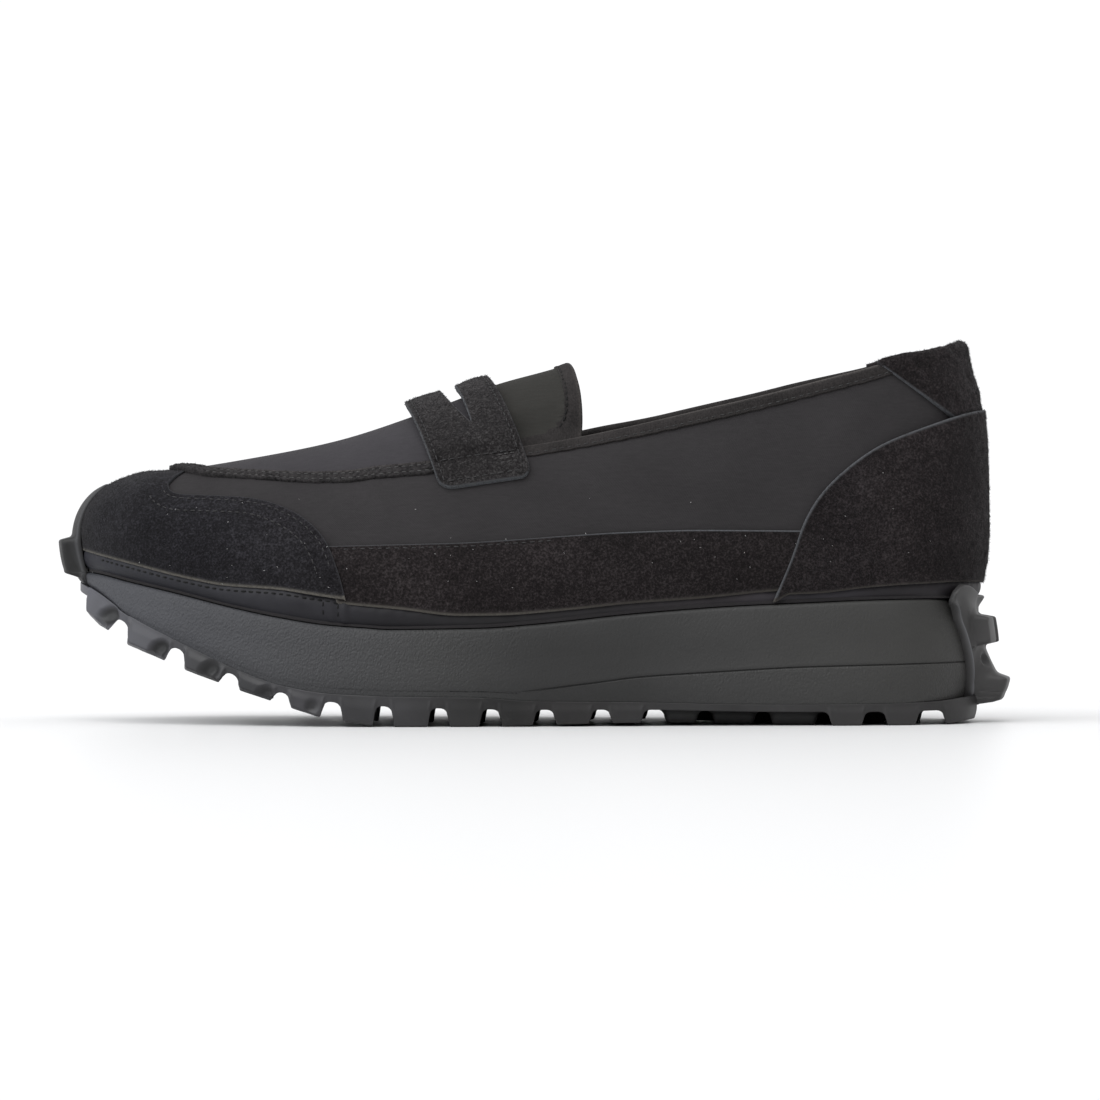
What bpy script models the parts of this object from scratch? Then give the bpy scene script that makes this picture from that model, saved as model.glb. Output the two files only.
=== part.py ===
"""Loafer sneaker, one left shoe standing empty on its sole.

Toe toward -X, heel toward +X, lateral side toward -Y, medial side toward +Y,
floor at z = 0. The tables below are in millimetres; meshes are in metres.

The upper is one surface worked out from the feather edge (where it meets the
midsole), a ridge line above the foot and one wall curve between the two.
Every overlay, the tongue and the strap are patches of that same surface.
"""
import math

import bpy
import bmesh
import numpy as np

MM = 0.001

# ---------------------------------------------------------------- driving sizes
TOE_X = -134.5          # upper's feather edge at the toe
HEEL_X = 132.6          # upper's feather edge at the heel
PLAN_SHIFT = 0.74       # puts the plan's width evenly about y = 0
FRAME_SHIFT = 0.643     # puts the length evenly about x = 0
WALL = 2.2              # upper wall
GAP = 0.3               # clearance between pieces that meet
OVERLAY_GAP = 0.4       # clearance under the suede overlays
CAP_GAP = 0.75          # clearance under the toe cap, where the face turns most
SUEDE = 1.3             # toe cap, side strips and heel tab
COUNTER = 2.2           # heel counter, stiffened
STRAP = 2.4             # saddle strap, folded suede
TONGUE = 1.8            # tongue
INSOLE = 3.5            # insole
INSOLE_INSET = 3.1      # insole's edge in from the feather edge
THROAT_X = -14.0        # apron ends and tongue starts, under the strap
TONGUE_END = 10.4       # tongue's rear edge on the ridge
TOE_FAN_X = -104.0      # wall curves of the toe fan out from here
HEEL_FAN_X = 92.0       # wall curves of the heel fan out from here
FAN_SOFTNESS = 16.0
WRAP = 2.5              # outsole's heel wrap
TOE_WRAP = 2.0          # outsole's toe wrap
WRAP_TOP_X = -127.5     # toe wrap's tip
TOE_WRAP_HALF = 10.5    # degrees either side of the toe
HEEL_WRAP_TOP_DEG = 157.0
HEEL_WRAP_LOW_DEG = 168.0
LUG_PROUD = 0.4         # edge lugs stand out from the outsole sheet
LUG_DRAFT = 0.6         # lugs narrow toward the tip
LUG_ROOT = 1.0          # lugs run this far up into the sheet
CENTRE_LUG = 10.5       # half width of the centre lugs
LUG_FAN_X = 4.8         # lug rows fan out from this station toward the medial side
LUG_FAN = 0.052
LUG_FAN_Y = 45.0        # half width that the fan is measured over
COLUMNS_FRONT = 16      # sections from the toe to the throat, each side
COLUMNS_REAR = 21       # sections from the throat to the heel, each side
ROWS_WALL = 10          # rows from feather edge to seam or collar
ROWS_APRON = 5          # rows from the apron seam to the ridge


def table(columns, rows):
    """A short table: named columns, one row for each section."""
    return dict(zip(columns.split(), np.array(rows, float).T))


# Plan of the feather edge. x = centre - half_length * cos(theta); the sides
# stand off the centre line `mid` by sin(theta) times `lat` or `med`.
PLAN = table("theta mid lat med", [
    (0, 6.0, 62.0, 62.0),
    (10, 6.0, 62.0, 62.0),
    (20, 5.7, 60.8, 60.8),
    (30, 5.0, 60.0, 60.0),
    (45, 3.5, 55.2, 55.2),
    (60, 1.5, 53.7, 50.8),
    (75, 0.3, 48.9, 45.0),
    (90, 0.0, 44.0, 37.5),
    (105, 0.0, 40.9, 35.2),
    (120, 0.0, 42.7, 38.4),
    (135, 0.0, 49.5, 46.7),
    (150, 0.0, 58.0, 56.0),
    (160, 0.0, 62.9, 62.0),
    (170, 0.0, 63.3, 63.0),
    (180, 0.0, 63.0, 63.0),
])

# Heights along the sole: midsole's top edge, its seam with the outsole,
# underside of the outsole sheet, and the lug tips.
SOLE = table("x top seam under ground", [
    (-142, 45.6, 44.2, 41.4, 39.0),
    (-130, 44.2, 38.6, 35.9, 31.9),
    (-120, 41.9, 32.1, 29.6, 25.0),
    (-105, 38.5, 24.9, 22.7, 18.2),
    (-90, 34.8, 17.9, 15.9, 12.5),
    (-75, 31.7, 12.4, 10.3, 7.4),
    (-60, 29.4, 9.8, 7.4, 2.8),
    (-49, 28.6, 9.2, 6.3, 0.7),
    (-42.5, 28.15, 8.95, 5.95, 0.0),
    (-15, 28.5, 8.5, 5.1, 0.0),
    (0, 29.6, 7.5, 4.9, 0.4),
    (30, 32.7, 7.1, 4.8, 1.0),
    (60, 34.9, 6.4, 4.2, 0.4),
    (80, 35.8, 6.3, 4.0, 0.0),
    (100, 36.6, 6.4, 4.0, 0.0),
    (118, 36.9, 6.9, 4.2, 0.0),
    (130, 36.7, 8.0, 5.0, 1.2),
    (142, 36.5, 8.8, 5.5, 2.4),
])

# Ridge over the foot; behind x = 10 it only shapes the collar's lean.
RIDGE = table("x y z", [
    (-108, 4.0, 75.2),
    (-95, 3.8, 77.3),
    (-85, 3.5, 79.0),
    (-70, 3.0, 81.8),
    (-56, 2.5, 85.1),
    (-42, 2.0, 89.6),
    (-28, 1.6, 94.7),
    (-10, 1.2, 101.2),
    (4, 1.0, 105.0),
    (10, 1.0, 106.9),
    (25, 0.8, 115.0),
    (40, 0.5, 129.0),
    (55, 0.3, 143.0),
    (70, 0.0, 155.0),
    (95, 0.0, 166.0),
])

# Wall curve: outward bulge, how far the wall climbs before it turns in,
# and how far in the crown starts, both as shares of height and half width.
SHAPE = table("x bulge climb crown", [
    (-135, 4.4, 0.76, 0.20),
    (-117, 3.2, 0.74, 0.26),
    (-95, 1.8, 0.70, 0.36),
    (-68, 1.1, 0.62, 0.45),
    (-40, 1.2, 0.58, 0.50),
    (0, 1.5, 0.55, 0.58),
    (35, 1.8, 0.50, 0.56),
    (70, 2.2, 0.45, 0.54),
    (95, 2.6, 0.42, 0.56),
    (116, 4.5, 0.43, 0.44),
    (134, 7.4, 0.45, 0.33),
])

# Apron seam and, behind the throat, the collar's topline; the medial side
# is `lift` higher.
COLLAR = table("x z lift", [
    (-110, 75.6, 0.0),
    (-88, 74.6, 0.0),
    (-70, 74.2, 0.0),
    (-54, 74.9, 0.0),
    (-47, 76.0, 0.0),
    (-31, 77.7, 0.0),
    (-14, 80.6, 0.5),
    (-3, 82.3, 1.1),
    (8, 84.1, 1.8),
    (25, 87.5, 2.2),
    (50, 93.2, 2.2),
    (75, 99.0, 2.0),
    (92, 103.1, 1.3),
    (101, 105.6, 0.8),
    (107, 107.6, 0.4),
    (114, 109.3, 0.0),
    (122, 111.4, 0.0),
    (129, 113.2, 0.0),
    (136, 114.0, 0.0),
])

# Apron seam round the toe: reach forward from the ridge along each section.
APRON_FRONT = table("theta reach", [
    (0, 5.6),
    (10, 6.2),
    (20, 8.4),
    (30, 12.5),
    (40, 18.0),
    (55, 25.0),
])

# Toe cap: lower edge, and its rear/upper edge from the vamp window down.
CAP_LOW = table("x z", [
    (-138, 52.2), (-121, 47.9), (-102, 43.1), (-91, 41.0),
    (-74, 39.7), (-63, 38.0), (-55, 36.9), (-50, 36.5),
])
CAP_EDGE = table("x z", [
    (-108.3, 70.4), (-107.4, 68.6), (-105.5, 67.6), (-102, 67.2),
    (-94, 66.9), (-86.5, 66.5), (-80.7, 65.8), (-75, 64.2), (-69.4, 61.7),
    (-63.7, 57.4), (-60.3, 53.0), (-58, 47.9), (-55.7, 41.0), (-54.6, 36.4),
])

# Side strips, between toe cap and heel counter.
STRIP = table("x low high", [
    (-62, 36.2, 52.2), (-54, 35.4, 52.4), (-38.7, 34.0, 52.8),
    (-21.5, 32.2, 53.3), (-11, 32.3, 53.9), (9.5, 33.8, 55.4),
    (26.7, 35.6, 56.5), (48.7, 37.2, 57.2), (69, 39.2, 57.1),
    (80, 40.0, 57.0),
])

# Heel counter: lower edge and upper/front edge.
COUNTER_LOW = table("x z", [
    (69, 38.2), (84, 38.8), (97.6, 40.4), (111, 41.4), (126, 42.0), (140, 41.8),
])
COUNTER_EDGE = table("x z", [
    (70.8, 38.4), (71.6, 40.4), (75, 48.6), (78.3, 57.8), (81.8, 64.6),
    (86.1, 70.1), (92.1, 75.6), (100.6, 81.5), (113.6, 87.1), (126, 91.6),
    (140, 94.6),
])

# Heel tab's front seam.
TAB_FRONT = table("x z", [(98, 108.6), (101.6, 106.1), (122, 91.4), (140, 78.0)])

# Strap's lower end on each side, and tongue's rear edge by its share of the
# way from ridge to collar.
STRAP_RIDGE_FRONT = -38.6
STRAP_WIDTH = 25.4
STRAP_SKEW = 11.0       # ends lie this far behind the middle
STRAP_LIFT_FRONT = 1.8  # middle of the strap bridges over the apron
STRAP_LIFT_REAR = 0.3
STRAP_CORNER = 4.0
SLOT_CENTRE = 0.52      # share of the strap's width
SLOT_HALF = 0.085       # share of the strap's width
SLOT_REACH = 0.50       # share of the way to the strap's end
STRAP_END = table("x z", [(-60, 63.7), (-25.7, 68.9), (-1.9, 72.5), (30, 77.3)])
TONGUE_REAR = table("share x", [(0, 10.4), (0.35, 12.4), (0.7, 14.0), (1.1, 13.0)])

# Midsole side: share of its height, and stand-off from the feather edge.
MIDSOLE_SIDE = table("share toe side heel", [
    (0.00, 0.0, 3.2, -2.6),
    (0.12, 0.6, 3.7, -1.6),
    (0.50, 1.0, 3.2, -0.5),
    (0.85, 1.0, 2.2, -1.8),
    (1.00, 0.6, 1.4, -2.8),
])
OUTSOLE_EDGE = dict(toe=2.2, side=3.2, heel=0.9)

# Lug rows along the sole: extent, set-back from the edge, reach inward, and
# whether the row has a centre block.
LUGS = table("front rear setback depth centre", [
    (-131.5, -122.0, 0.0, 7.0, 0),
    (-117.8, -106.0, 0.0, 13.0, 1),
    (-101.3, -90.4, 0.0, 14.0, 1),
    (-85.6, -75.6, 0.0, 14.0, 1),
    (-70.9, -61.4, 0.0, 14.0, 1),
    (-56.0, -46.4, 0.0, 14.0, 1),
    (-41.2, -30.4, 0.0, 14.0, 1),
    (-25.0, -15.4, 0.0, 14.0, 1),
    (-9.8, 0.2, 0.0, 14.0, 1),
    (6.0, 16.6, 0.0, 14.0, 1),
    (22.4, 31.6, 0.0, 14.0, 1),
    (38.0, 47.7, 6.0, 11.0, 1),
    (52.0, 64.4, 8.0, 9.0, 1),
    (69.0, 82.5, 6.0, 11.0, 1),
    (86.3, 96.0, 0.0, 14.0, 1),
    (102.6, 111.7, 0.0, 12.0, 1),
    (119.6, 130.6, 0.0, 8.0, 0),
])

# Studs on the heel wrap: middle and half width round the heel in degrees,
# lower and upper ends as shares of the midsole's height, reach past the wrap.
HEEL_STUDS = table("middle half low high reach", [
    (0, 4.4, 0.53, 0.84, 4.8),
    (-13, 4.0, 0.53, 0.84, 4.6),
    (13, 4.0, 0.53, 0.84, 4.6),
    (0, 9.5, -0.08, 0.20, 8.2),
])
STUD_ROOT = 1.2         # studs start this far inside a wrap
TOE_STUD_HALF = 7.0     # degrees either side of the toe
TOE_STUD_TOP = 0.14     # up the toe's section
TOE_STUD_REACH = 3.7

CENTRE_X = (TOE_X + HEEL_X) / 2
HALF_LENGTH = (HEEL_X - TOE_X) / 2


# ---------------------------------------------------------------- curves
def smooth(tab, key, value):
    """Natural cubic through a table's rows."""
    x, y = tab[key], tab[value]
    n, h = len(x), np.diff(x)
    a, b = np.eye(n), np.zeros(n)
    for i in range(1, n - 1):
        a[i, i - 1:i + 2] = h[i - 1], 2 * (h[i - 1] + h[i]), h[i]
        b[i] = 6 * ((y[i + 1] - y[i]) / h[i] - (y[i] - y[i - 1]) / h[i - 1])
    m = np.linalg.solve(a, b)

    def f(q):
        q = np.clip(np.asarray(q, float), x[0], x[-1])
        i = np.clip(np.searchsorted(x, q) - 1, 0, n - 2)
        d = q - x[i]
        slope = (y[i + 1] - y[i]) / h[i] - h[i] * (2 * m[i] + m[i + 1]) / 6
        return y[i] + d * slope + d * d * m[i] / 2 + d ** 3 * (m[i + 1] - m[i]) / (6 * h[i])
    return f


def steady(tab, key, value):
    """Monotone cubic through a table's rows: equal rows give a flat run."""
    x, y = tab[key], tab[value]
    h = np.diff(x)
    s = np.diff(y) / h
    m = np.zeros(len(x))
    m[0], m[-1] = s[0], s[-1]
    for i in range(1, len(x) - 1):
        if s[i - 1] * s[i] > 0:
            w1, w2 = 2 * h[i] + h[i - 1], h[i] + 2 * h[i - 1]
            m[i] = (w1 + w2) / (w1 / s[i - 1] + w2 / s[i])

    def f(q):
        q = np.clip(np.asarray(q, float), x[0], x[-1])
        i = np.clip(np.searchsorted(x, q) - 1, 0, len(h) - 1)
        u = (q - x[i]) / h[i]
        return ((1 + 2 * u) * (1 - u) ** 2 * y[i] + u * (1 - u) ** 2 * h[i] * m[i]
                + u * u * (3 - 2 * u) * y[i + 1] + u * u * (u - 1) * h[i] * m[i + 1])
    return f


def step(edge0, edge1, q):
    u = np.clip((np.asarray(q, float) - edge0) / (edge1 - edge0), 0, 1)
    return u * u * (3 - 2 * u)


plan_mid = smooth(PLAN, "theta", "mid")
plan_lat = smooth(PLAN, "theta", "lat")
plan_med = smooth(PLAN, "theta", "med")
sole_top = steady(SOLE, "x", "top")
sole_seam = steady(SOLE, "x", "seam")
sole_under = steady(SOLE, "x", "under")
sole_ground = steady(SOLE, "x", "ground")
ridge_y = smooth(RIDGE, "x", "y")
ridge_z = smooth(RIDGE, "x", "z")
wall_bulge = smooth(SHAPE, "x", "bulge")
wall_climb = smooth(SHAPE, "x", "climb")
wall_crown = smooth(SHAPE, "x", "crown")
collar_z = steady(COLLAR, "x", "z")
collar_lift = steady(COLLAR, "x", "lift")
apron_reach = smooth(APRON_FRONT, "theta", "reach")
cap_low = steady(CAP_LOW, "x", "z")
cap_edge = steady(CAP_EDGE, "x", "z")
strip_low = steady(STRIP, "x", "low")
strip_high = steady(STRIP, "x", "high")
counter_low = steady(COUNTER_LOW, "x", "z")
counter_edge = steady(COUNTER_EDGE, "x", "z")
tab_front = steady(TAB_FRONT, "x", "z")
strap_end = steady(STRAP_END, "x", "z")
tongue_rear = steady(TONGUE_REAR, "share", "x")


# ---------------------------------------------------------------- the last
def fold(phi):
    """Angle round the plan -> (angle from the toe, side): -1 lateral, +1 medial."""
    phi = np.mod(np.asarray(phi, float), 2 * math.pi)
    return np.where(phi <= math.pi, phi, 2 * math.pi - phi), np.where(phi <= math.pi, -1.0, 1.0)


def theta_at(x):
    return np.arccos(np.clip((CENTRE_X - np.asarray(x, float)) / HALF_LENGTH, -1, 1))


def plan(phi):
    theta, side = fold(phi)
    deg = np.degrees(theta)
    half = np.where(side < 0, plan_lat(deg), plan_med(deg))
    return (CENTRE_X - HALF_LENGTH * np.cos(theta),
            plan_mid(deg) + side * np.sin(theta) * half)


def plan_offset(phi, distance):
    """The plan's edge moved outward along its own normal."""
    x, y = plan(phi)
    x1, y1 = plan(np.asarray(phi) + 1e-4)
    x0, y0 = plan(np.asarray(phi) - 1e-4)
    tx, ty = x1 - x0, y1 - y0
    length = np.hypot(tx, ty)
    return x + distance * ty / length, y - distance * tx / length


def ridge_x(x):
    front = FAN_SOFTNESS * np.log1p(np.exp((TOE_FAN_X - x) / FAN_SOFTNESS))
    rear = FAN_SOFTNESS * np.log1p(np.exp((x - HEEL_FAN_X) / FAN_SOFTNESS))
    return x + front - rear


def last(phi, t):
    """Point of the upper's outer face: section phi, t from feather edge to ridge."""
    t = np.asarray(t, float)
    bx, by = plan(phi)
    rx = ridge_x(bx)
    ry, rz = ridge_y(rx), ridge_z(rx)
    slope = ridge_z(rx + 0.5) - ridge_z(rx - 0.5)
    run = np.hypot(rx - bx, ry - by)
    ex, ey = (rx - bx) / run, (ry - by) / run
    base = sole_top(bx) + GAP
    climb = base + wall_climb(bx) * (rz - base)
    crown = wall_crown(bx) * run
    b1, b2, b3 = 3 * (1 - t) ** 2 * t, 3 * (1 - t) * t * t, t ** 3
    r = -b1 * wall_bulge(bx) + b2 * crown + b3 * run
    z = (1 - t) ** 3 * base + b1 * climb + b2 * (rz - slope * ex * (run - crown)) + b3 * rz
    return np.stack(np.broadcast_arrays(bx + ex * r, by + ey * r, z), axis=-1)


def last_normal(phi, t):
    h = 1e-3
    t = np.asarray(t, float)
    along = last(phi + h, t) - last(phi - h, t)
    up = last(phi, np.minimum(t + h, 1)) - last(phi, np.maximum(t - h, 0))
    n = np.cross(along, up)
    return n / np.linalg.norm(n, axis=-1, keepdims=True)


def skin(phi, t, off):
    """Point standing `off` outside the upper's outer face."""
    return last(phi, t) + last_normal(phi, t) * np.asarray(off, float)[..., None]


SAMPLES = np.linspace(0, 1, 401)


def crossing(phi, height, side_lift=0.0):
    """First t up section phi where the face reaches z = height(x)."""
    phi = np.atleast_1d(np.asarray(phi, float))
    p = last(phi[:, None], SAMPLES[None, :])
    over = p[..., 2] - height(p[..., 0]) - np.atleast_1d(side_lift)[:, None] * collar_lift(p[..., 0])
    out = np.ones(len(phi))
    for i, row in enumerate(over):
        hit = np.nonzero(row >= 0)[0]
        if len(hit):
            k = hit[0]
            out[i] = 0.0 if k == 0 else SAMPLES[k - 1] + (SAMPLES[k] - SAMPLES[k - 1]) * row[k - 1] / (row[k - 1] - row[k])
    return out


def seam_t(phi):
    """Apron seam in front of the throat, topline behind it."""
    phi = np.atleast_1d(np.asarray(phi, float))
    theta, side = fold(phi)
    by_height = crossing(phi, collar_z, (side > 0).astype(float))
    deg = np.degrees(theta)
    bx, by = plan(phi)
    rx = ridge_x(bx)
    run = np.hypot(rx - bx, ridge_y(rx) - by)
    p = last(phi[:, None], SAMPLES[None, :])
    went = np.hypot(p[..., 0] - bx[:, None], p[..., 1] - by[:, None])
    by_reach = np.array([np.interp(run[i] - apron_reach(deg[i]), went[i][40:], SAMPLES[40:])
                         for i in range(len(phi))])
    w = step(36, 54, deg)
    return by_reach * (1 - w) + by_height * w


# ---------------------------------------------------------------- meshes
def fresh():
    for ob in list(bpy.data.objects):
        bpy.data.objects.remove(ob, do_unlink=True)
    for group in (bpy.data.meshes, bpy.data.materials, bpy.data.collections):
        for item in list(group):
            group.remove(item)


def collection(name):
    c = bpy.data.collections.new(name)
    bpy.context.scene.collection.children.link(c)
    return c


def material(name, colour, rough):
    m = bpy.data.materials.new(name)
    m.use_nodes = True
    bsdf = m.node_tree.nodes["Principled BSDF"]
    bsdf.inputs["Base Color"].default_value = (*colour, 1.0)
    bsdf.inputs["Roughness"].default_value = rough
    m.diffuse_color = (*colour, 1.0)
    return m


def place(points):
    p = np.array(points, float)
    p[..., 0] += FRAME_SHIFT
    p[..., 1] += PLAN_SHIFT
    return p * MM


def mesh_object(name, points, faces, group, mat):
    me = bpy.data.meshes.new(name)
    me.from_pydata([tuple(v) for v in place(points)], [], faces)
    me.update()
    ob = bpy.data.objects.new(name, me)
    group.objects.link(ob)
    if mat:
        me.materials.append(mat)
    return ob


def tidy(ob):
    """Merge doubled corners and drop the faces they collapse."""
    bm = bmesh.new()
    bm.from_mesh(ob.data)
    bmesh.ops.remove_doubles(bm, verts=bm.verts, dist=0.02 * MM)
    bmesh.ops.dissolve_degenerate(bm, edges=bm.edges, dist=0.01 * MM)
    bm.to_mesh(ob.data)
    bm.free()
    ob.data.update()


def thicken(ob, thickness, outward):
    s = ob.modifiers.new("wall", "SOLIDIFY")
    s.thickness = thickness * MM
    s.offset = 1.0 if outward else -1.0
    s.use_even_offset = False
    s.use_rim = True


def grid_faces(rows, cols, start=0):
    """Quads over a rows x cols grid whose columns run round the plan."""
    return [(start + r * cols + c, start + r * cols + c + 1,
             start + (r + 1) * cols + c + 1, start + (r + 1) * cols + c)
            for r in range(rows - 1) for c in range(cols - 1)]


def patch(name, phi, t, off, thickness, group, mat):
    """An overlay: a patch of the upper's face, stood off and thickened outward."""
    pts = skin(phi, t, np.broadcast_to(off, phi.shape))
    ob = mesh_object(name, pts.reshape(-1, 3), grid_faces(*phi.shape), group, mat)
    tidy(ob)
    thicken(ob, thickness, True)
    return ob


def loft(name, rings, group, mat):
    """Closed solid from stacked rings; both ends closed by rungs across."""
    count, n = len(rings), len(rings[0])
    faces = []
    for r in range(count - 1):
        for c in range(n):
            d = (c + 1) % n
            faces.append((r * n + c, r * n + d, (r + 1) * n + d, (r + 1) * n + c))
    half = n // 2
    for base, flip in ((0, True), ((count - 1) * n, False)):
        for i in range(half):
            a, b = base + i, base + i + 1
            c, d = base + (n - i - 1) % n, base + (n - i) % n
            quad = [a, b, c, d] if a != d else [a, b, c]
            quad = [v for k, v in enumerate(quad) if v not in quad[:k]]
            faces.append(tuple(reversed(quad)) if flip else tuple(quad))
    return mesh_object(name, np.concatenate(rings), faces, group, mat)


def slab(name, inner, outer, group):
    """Closed solid between two grids of the same shape."""
    rows, cols = inner.shape[:2]
    n = rows * cols
    faces = [tuple(reversed(f)) for f in grid_faces(rows, cols)] + grid_faces(rows, cols, n)
    rim = ([(0, c) for c in range(cols)] + [(r, cols - 1) for r in range(1, rows)]
           + [(rows - 1, c) for c in range(cols - 2, -1, -1)]
           + [(r, 0) for r in range(rows - 2, 0, -1)])
    for k, (r, c) in enumerate(rim):
        r2, c2 = rim[(k + 1) % len(rim)]
        a, b = r * cols + c, r2 * cols + c2
        faces.append((a, b, b + n, a + n))
    return mesh_object(name, np.concatenate([inner.reshape(-1, 3), outer.reshape(-1, 3)]),
                       faces, group, None)


def blocks(name, corner_lists, group):
    """Cubes, each carried to eight given corners, as one object."""
    bm = bmesh.new()
    for corners in corner_lists:
        made = bmesh.ops.create_cube(bm, size=2.0)["verts"]
        for v in made:
            key = tuple(int(round(q)) for q in v.co)
            v.co = place(np.array(corners[key]))
    bmesh.ops.recalc_face_normals(bm, faces=bm.faces)
    me = bpy.data.meshes.new(name)
    bm.to_mesh(me)
    bm.free()
    ob = bpy.data.objects.new(name, me)
    group.objects.link(ob)
    return ob


def join_to(ob, other):
    b = ob.modifiers.new(other.name, "BOOLEAN")
    b.operation = "UNION"
    b.solver = "EXACT"
    b.object = other
    other.hide_render = True
    other.display_type = "WIRE"


# ---------------------------------------------------------------- sub-parts
def stand_off(phi, toe, side, heel):
    theta, _ = fold(phi)
    deg = np.degrees(theta)
    at_toe = 1 - step(8, 38, deg)
    at_heel = step(142, 172, deg)
    return toe * at_toe + heel * at_heel + side * (1 - at_toe - at_heel)


def midsole_stand_off(phi, share):
    return stand_off(phi, *(float(np.interp(share, MIDSOLE_SIDE["share"], MIDSOLE_SIDE[k]))
                            for k in ("toe", "side", "heel")))


def midsole_ring(phi, share, extra=0.0):
    x, y = plan_offset(phi, midsole_stand_off(phi, share) + extra)
    z = sole_seam(x) * (1 - share) + sole_top(x) * share
    return np.stack([x, y, z], axis=-1)


def sections():
    front = np.linspace(0, float(theta_at(THROAT_X - GAP / 2)), COLUMNS_FRONT + 1)
    rear = np.linspace(front[-1], math.pi, COLUMNS_REAR + 1)[1:]
    theta = np.concatenate([front, rear])
    return np.concatenate([theta, 2 * math.pi - theta[-2:0:-1]])


def build_upper(group, mat):
    phi = sections()
    n = len(phi)
    top = seam_t(phi)
    share = np.linspace(0, 1, ROWS_WALL)
    wall = last(phi[None, :], share[:, None] * top[None, :])
    points = list(wall.reshape(-1, 3))
    faces = []
    for r in range(ROWS_WALL - 1):
        for c in range(n):
            d = (c + 1) % n
            faces.append((r * n + c, r * n + d, (r + 1) * n + d, (r + 1) * n + c))
    # apron: from the seam up to the ridge, lateral and medial sections paired
    index = {}
    for side in (0, 1):
        for c in range(COLUMNS_FRONT + 1):
            col = c if side == 0 else (n - c) % n
            index[side, c, 0] = (ROWS_WALL - 1) * n + col
            for r in range(1, ROWS_APRON + 1):
                if r == ROWS_APRON and side == 1 or c == 0 and side == 1:
                    index[side, c, r] = index[0, c, r]
                    continue
                index[side, c, r] = len(points)
                points.append(last(phi[col], top[col] + (1 - top[col]) * r / ROWS_APRON))
    for side in (0, 1):
        for c in range(COLUMNS_FRONT):
            for r in range(ROWS_APRON):
                quad = (index[side, c, r], index[side, c + 1, r],
                        index[side, c + 1, r + 1], index[side, c, r + 1])
                faces.append(quad if side == 0 else tuple(reversed(quad)))
    ob = mesh_object("upper", np.array(points), faces, group, mat)
    tidy(ob)
    thicken(ob, WALL, False)
    return ob


def build_midsole(group, mat):
    phi = sections()
    return loft("midsole", [midsole_ring(phi, s) for s in (0.0, 0.12, 0.5, 0.85, 1.0)], group, mat)


def build_insole(group, mat):
    phi = sections()
    x, y = plan_offset(phi, -INSOLE_INSET)
    low = np.stack([x, y, sole_top(x) + GAP], axis=-1)
    high = low + np.array([0, 0, INSOLE])
    return loft("insole", [low, high], group, mat)


def row_x(x, y):
    """Lug rows lie straight across and fan a little toward the medial side."""
    x = x + (x - LUG_FAN_X) * LUG_FAN * (y + LUG_FAN_Y) / (2 * LUG_FAN_Y)
    return min(max(x, TOE_X + 1.4), HEEL_X - 1.0)


def edge_y(x, side):
    """The lugs' outer edge at station x."""
    theta = np.linspace(0.01, math.pi - 0.01, 400)
    phi = theta if side < 0 else 2 * math.pi - theta
    ex, ey = plan_offset(phi, stand_off(phi, **OUTSOLE_EDGE) + LUG_PROUD)
    return float(np.interp(x, ex, ey))


def lug_corners(front, rear, setback, depth, side):
    """Edge lug of one row: outer face on the sole's edge, straight flanks."""
    corners = {}
    for s in (-1, 1):
        for d in (-1, 1):
            for h in (-1, 1):
                draft = LUG_DRAFT if h < 0 else 0.0
                station = front + draft if s < 0 else rear - draft
                outer = edge_y(row_x(station, side * LUG_FAN_Y), side) - side * setback
                y = outer - side * (draft * 0.5 if d > 0 else depth - draft)
                x = row_x(station, y)
                z = sole_under(x) + LUG_ROOT if h > 0 else sole_ground(x)
                corners[s, d, h] = (x, y, float(z))
    return corners


def centre_corners(front, rear):
    corners = {}
    middle = float(plan_mid(np.degrees(theta_at((front + rear) / 2))))
    for s in (-1, 1):
        for d in (-1, 1):
            for h in (-1, 1):
                draft = LUG_DRAFT if h < 0 else 0.0
                y = middle + d * (CENTRE_LUG - draft)
                x = row_x(front + draft if s < 0 else rear - draft, y)
                z = sole_under(x) + LUG_ROOT if h > 0 else sole_ground(x)
                corners[s, d, h] = (x, y, float(z))
    return corners


def build_studs(group):
    """Blocks that follow the wraps they stand on; outer ends a little smaller."""
    made = []
    for k, (middle, half, low, high, reach) in enumerate(zip(*HEEL_STUDS.values())):
        ends = []
        for off, size in ((GAP + WRAP - STUD_ROOT, 1.0), (GAP + WRAP + reach, 0.84)):
            ang = math.pi + np.radians(middle + np.linspace(-half, half, 5) * size)
            mid, tall = (low + high) / 2, (high - low) / 2 * size
            ends.append(np.array([midsole_ring(ang, mid - tall, off), midsole_ring(ang, mid + tall, off)]))
        made.append(slab("heel stud %d" % k, ends[0], ends[1], group))
    ends = []
    for off, size in ((TOE_WRAP - STUD_ROOT, 1.0), (TOE_WRAP + TOE_STUD_REACH, 0.86)):
        ang = np.radians(np.linspace(-1, 1, 5) * TOE_STUD_HALF * size)
        foot = midsole_ring(ang, 0.5, GAP + off)
        foot[:, 2] += (1 - size) * 4
        head = skin(ang, np.full(5, TOE_STUD_TOP * size), np.full(5, CAP_GAP + SUEDE + GAP + off))
        ends.append(np.array([foot, head]))
    made.append(slab("toe stud", ends[0], ends[1], group))
    return made


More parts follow.
